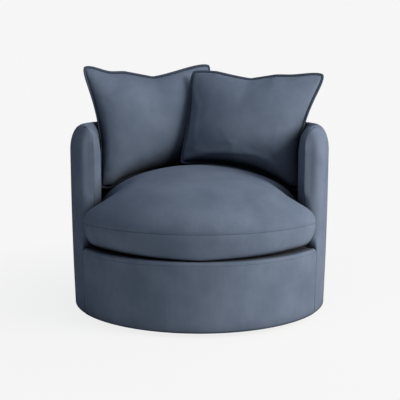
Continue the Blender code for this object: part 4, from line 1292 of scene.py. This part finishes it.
def finish_of(name, low, high, roughness, scale, stretch=(1, 1, 1), metallic=0.0, bump=0.0):
    """A finish with one pattern: noise stretched along the grain, between two tones."""
    made, tree, surface = new_material(name)
    where = add_node(tree, "ShaderNodeTexCoord")
    mapped = add_node(tree, "ShaderNodeMapping", {"Vector": where.outputs["Object"], "Scale": stretch})
    pattern = add_node(
        tree, "ShaderNodeTexNoise", {"Vector": mapped.outputs[0], "Scale": scale, "Detail": 5.0}
    )
    ramp = add_node(tree, "ShaderNodeValToRGB", {"Fac": pattern.outputs[0]})
    ramp.color_ramp.elements[0].position = DARK_PLACE
    ramp.color_ramp.elements[0].color = linear(low)
    ramp.color_ramp.elements[1].position = PALE_PLACE
    ramp.color_ramp.elements[1].color = linear(high)
    smoothest, roughest = roughness - ROUGHNESS_PLAY, roughness + ROUGHNESS_PLAY
    rough = add_node(
        tree, "ShaderNodeMapRange", {"Value": pattern.outputs[0], "To Min": smoothest, "To Max": roughest}
    )
    tree.links.new(ramp.outputs[0], surface.inputs["Base Color"])
    tree.links.new(rough.outputs[0], surface.inputs["Roughness"])
    surface.inputs["Metallic"].default_value = metallic
    if bump:
        relief = add_node(
            tree, "ShaderNodeBump", {"Height": pattern.outputs[0], "Strength": 0.4, "Distance": bump}
        )
        tree.links.new(relief.outputs[0], surface.inputs["Normal"])
    return made

# %% [markdown]
# ## Wood, metal, felt, foam and lining
# Each finish starts from what the material is. The scale of its pattern is how many spots go in a metre,
# so that 260 gives a speckle of about 4 mm. A grain is longer one way than the others.

# %% Finishes of the hidden pieces
# Rotary-cut birch has long soft grain, here four to nine millimetres wide.
BIRCH_GRAIN = (1, 12, 30)
plywood = finish_of("birch plywood, sanded", "#B8946A", "#D3B88C", 0.62, 9.0, BIRCH_GRAIN, bump=0.1 * MM)
# Sawn pine has broader bands, about twelve millimetres wide, and a rougher face.
pine = finish_of("pine, sawn", "#B98F5A", "#DDBD88", 0.7, 14.0, (6, 6, 1), bump=0.3 * MM)
# Hardboard is pressed wood fibre, brown with a fine darker speckle.
hardboard = finish_of("hardboard", "#5E4430", "#80603F", 0.72, 260.0, bump=0.1 * MM)
# The plating is a little cloudy, in spots about three millimetres across.
zinc = finish_of("zinc-plated steel", "#9FA4AA", "#C6CACE", 0.36, 380.0, metallic=1.0)
# Drawn brass is even, with faint lighter and darker spots.
brass = finish_of("brass, drawn", "#A88442", "#C7A45C", 0.38, 300.0, metallic=1.0)
# Wool felt is dull and hairy, so its relief is deep for its size.
felt = finish_of("wool felt", "#2F2F31", "#454547", 0.95, 900.0, bump=0.3 * MM)
# Polyether foam has open cells about a millimetre across, which make it matt.
foam = finish_of("polyether foam", "#D8D0B6", "#ECE6D2", 0.95, 700.0, bump=0.4 * MM)
# Lining cloth is bonded fibre with next to no sheen, and its speckle is under a millimetre.
lining = finish_of("black lining cloth", "#1D1F22", "#2B2E33", 0.94, 1200.0, bump=0.15 * MM)
for finish in (plywood, pine, hardboard, zinc, brass, felt, foam, lining):
    print("material:", finish.name)

# %% [markdown]
# ## Which node gets which finish
# A hidden node gets its finish by the start of its name. The nodes that the cloth stands for get the
# cover cloth.

# %% Finishes given by name
FINISHES = {
    "glide": felt,
    "base_board": plywood,
    "bottom_ring": plywood,
    "seat_ring": plywood,
    "top_rail": plywood,
    "beam": pine,
    "lower_post": pine,
    "upper_post": pine,
    "drum_panel": hardboard,
    "outer_panel": hardboard,
    "inner_panel": hardboard,
    "lower_race": zinc,
    "upper_race": zinc,
    "seat_spring": zinc,
    "front_clip": zinc,
    "back_clip": zinc,
    "ball_cage": brass,
    "deck_pad": foam,
    "wall_foam": foam,
    "band_foam": foam,
    "deck_cover": lining,
    "dust_cover": lining,
}
for name, node in nodes.items():
    found = [finish for start, finish in FINISHES.items() if name.startswith(start)]
    node.data.materials.clear()
    node.data.materials.append(found[0] if found else slate_cloth)
print("finishes given to", len(nodes), "nodes")

# %% [markdown]
# ## Deck cloth
# The deck cloth is black lining, which shows only when the seat cushion is out. It is drawn tight over
# the deck pad and turned down at its edge.

# %% Deck cloth
deck_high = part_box("deck_cover")[1]
DECK_INSIDE = deck_high[0] - 0.4 * MM
DECK_FRONT = -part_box("deck_pad")[0].y + 0.8 * MM
SKIRT = 9 * MM
DECK_DIP = 0.45 * MM
DECK_WAVE = 0.015
WAVE_SHARE = 0.3
DECK_THICKNESS = 1.4 * MM
deck_edge = [polar(DECK_INSIDE, a) for a in np.linspace(1.0 - JOIN_ANGLE, JOIN_ANGLE - 1.0, 121)]
# The front part is cut to a larger radius, and its corners are tucked under the arms' noses.
deck_edge += [polar(DECK_FRONT, a) for a in np.linspace(JOIN_ANGLE - 0.2, 360.2 - JOIN_ANGLE, 61)]
deck_rows = list(np.linspace(0, 0.9, 19)) + [0.94, 0.97, 0.985, 0.995, 1.0, 1.01]


def deck_place(station, share):
    """The deck cloth: a shallow dish over the springs, turned down at its edge in the last row."""
    place = deck_edge[station % len(deck_edge)] * min(share, 1.0)
    wave = 1 + WAVE_SHARE * math.cos(place.x / DECK_WAVE)
    dip = DECK_DIP * (1 - min(share, 1.0) ** 6) * wave / (1 + WAVE_SHARE)
    place.z = deck_high[2] - (dip if share <= 1 else SKIRT)
    return place


deck_stations = list(range(len(deck_edge) + 1))
deck_cloth = sewn("deck_cloth", [laid_panel("deck", deck_stations, deck_rows, deck_place)])
face_away(deck_cloth, lambda point: Vector((0, 0, 0)))
thicken(deck_cloth, DECK_THICKNESS)
finish_piece(deck_cloth, lining, "tub", "deck_cover")

# %% [markdown]
# ## Dust cloth
# The dust cloth is a ring of the same lining under the tub, which shows only when the chair lies on its
# side. Its inner edge is turned under as a hem, and it hangs a little slack between its two edges.

# %% Dust cloth
dust_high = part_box("dust_cover")[1]
DUST_OUTSIDE = dust_high[0]
DUST_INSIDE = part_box("base_board")[1][0] + 20 * MM
HEM_WIDTH = 12 * MM
HEM_DROP = 1.4 * MM
DUST_DROP = 0.1 * MM
DUST_SLACK = 0.5 * MM
DUST_WAVES = 11
DUST_THICKNESS = 0.5 * MM
dust_rows = [("ring", share) for share in np.linspace(0, 1, 17)]
dust_rows += [("hem", share) for share in (0.02, 0.08, 0.3, 0.65, 1.0)]


def dust_place(turn, row):
    kind, share = row
    if kind == "hem":
        return polar(DUST_INSIDE + HEM_WIDTH * share, turn, dust_high[2] - HEM_DROP)
    wave = 1 + 0.5 * math.sin(math.radians(turn * DUST_WAVES))
    slack = DUST_SLACK * math.sin(math.pi * share) * wave
    radius = DUST_OUTSIDE + (DUST_INSIDE - DUST_OUTSIDE) * share
    return polar(radius, turn, dust_high[2] - DUST_DROP - slack)


dust_turns = list(np.linspace(0, 360, 181))
dust_cloth = sewn("dust_cloth", [laid_panel("dust", dust_turns, dust_rows, dust_place)])
thicken(dust_cloth, DUST_THICKNESS)
finish_piece(dust_cloth, lining, "tub", "dust_cover")

# %% [markdown]
# ## Light
# The photograph is lit from the right by one large soft source a little above the chair. A weaker,
# cooler light falls from overhead, and a pale room all round opens up the shadows. Two area lamps give
# the first two and the world the third.

# %% Lamps
def soft_lamp(name, azimuth, elevation, distance, size, power, colour, target=(0, 0, 0.42)):
    """An area lamp that looks at the chair. Azimuth 0 is the front, 90 the right."""
    data = bpy.data.lights.new(name, "AREA")
    data.shape = "RECTANGLE"
    data.size, data.size_y = size
    data.energy = power
    data.color = linear(colour)[:3]
    lamp = bpy.data.objects.new(name, data)
    bpy.context.scene.collection.objects.link(lamp)
    a, e = math.radians(azimuth), math.radians(elevation)
    way = Vector((math.sin(a) * math.cos(e), -math.cos(a) * math.cos(e), math.sin(e)))
    lamp.location = Vector(target) + way * distance
    lamp.rotation_euler = way.to_track_quat("Z", "Y").to_euler()
    print(name, "lamp at", [round(c, 2) for c in lamp.location], "m,", power, "W")


soft_lamp("key", 64, 24, 3.4, (1.6, 1.6), 146, "#FFFAF1")
soft_lamp("sky", 0, 78, 3.4, (2.2, 2.2), 38, "#EEF4FF")

# %% [markdown]
# ## The pale room
# The chair stands in a dim, cool room, but the picture's background is the same pale grey everywhere. So
# the world is that grey to the camera alone, and the room to everything else.

# %% World
PALE = "#F6F6F6"
ROOM_TINT = "#E1EBF7"
ROOM_STRENGTH = 0.175
world = bpy.data.worlds.new("pale room")
world.use_nodes = True
bpy.context.scene.world = world
tree = world.node_tree
tree.nodes.clear()
rays = add_node(tree, "ShaderNodeLightPath")
room = add_node(
    tree, "ShaderNodeBackground", {"Color": linear(ROOM_TINT), "Strength": ROOM_STRENGTH}
)
seen = add_node(tree, "ShaderNodeBackground", {"Color": linear(PALE), "Strength": 1.0})
camera_ray = rays.outputs["Is Camera Ray"]
mixed = add_node(tree, "ShaderNodeMixShader", {0: camera_ray, 1: room.outputs[0], 2: seen.outputs[0]})
add_node(tree, "ShaderNodeOutputWorld", {"Surface": mixed.outputs[0]})
print("world:", world.name, "at strength", ROOM_STRENGTH)

# %% [markdown]
# ## Floor
# The floor is the same pale grey and keeps a faint shadow. To the camera it is mostly grey that gives
# its own light, mixed with a little plain white that the lamps and the chair's shadow can play on. That
# share fades away from the chair, so that no edge shows where the floor ends.

# %% Floor
FLOOR_RADIUS = 30.0
SHADOW_NEAR = 0.45
SHADOW_FAR = 1.3
SHADOW_SHARE = 0.10
deselect()
bpy.ops.mesh.primitive_circle_add(
    vertices=96, radius=FLOOR_RADIUS, fill_type="NGON", location=(0, 0, 0)
)
floor = bpy.context.object
floor.name = "floor"
floor_material, tree, surface = new_material("pale floor")
rays = add_node(tree, "ShaderNodeLightPath")
where = add_node(tree, "ShaderNodeTexCoord")
length = add_node(tree, "ShaderNodeVectorMath", {0: where.outputs["Object"]}, operation="LENGTH")
share = add_node(
    tree,
    "ShaderNodeMapRange",
    {
        "Value": length.outputs["Value"],
        "From Min": SHADOW_NEAR,
        "From Max": SHADOW_FAR,
        "To Min": SHADOW_SHARE,
        "To Max": 0.0,
    },
)
glow = add_node(tree, "ShaderNodeEmission", {"Color": linear(PALE), "Strength": 1.0})
surface.inputs["Base Color"].default_value = linear("#F2F2F2")
surface.inputs["Roughness"].default_value = 0.9
surface.inputs["Specular IOR Level"].default_value = 0.1
shader = surface.outputs[0]
seen = add_node(tree, "ShaderNodeMixShader", {0: share.outputs[0], 1: glow.outputs[0], 2: shader})
camera_ray = rays.outputs["Is Camera Ray"]
whole = add_node(tree, "ShaderNodeMixShader", {0: camera_ray, 1: shader, 2: seen.outputs[0]})
tree.links.new(whole.outputs[0], tree.nodes["Material Output"].inputs["Surface"])
floor.data.materials.append(floor_material)
print("floor:", 2 * FLOOR_RADIUS, "m across")
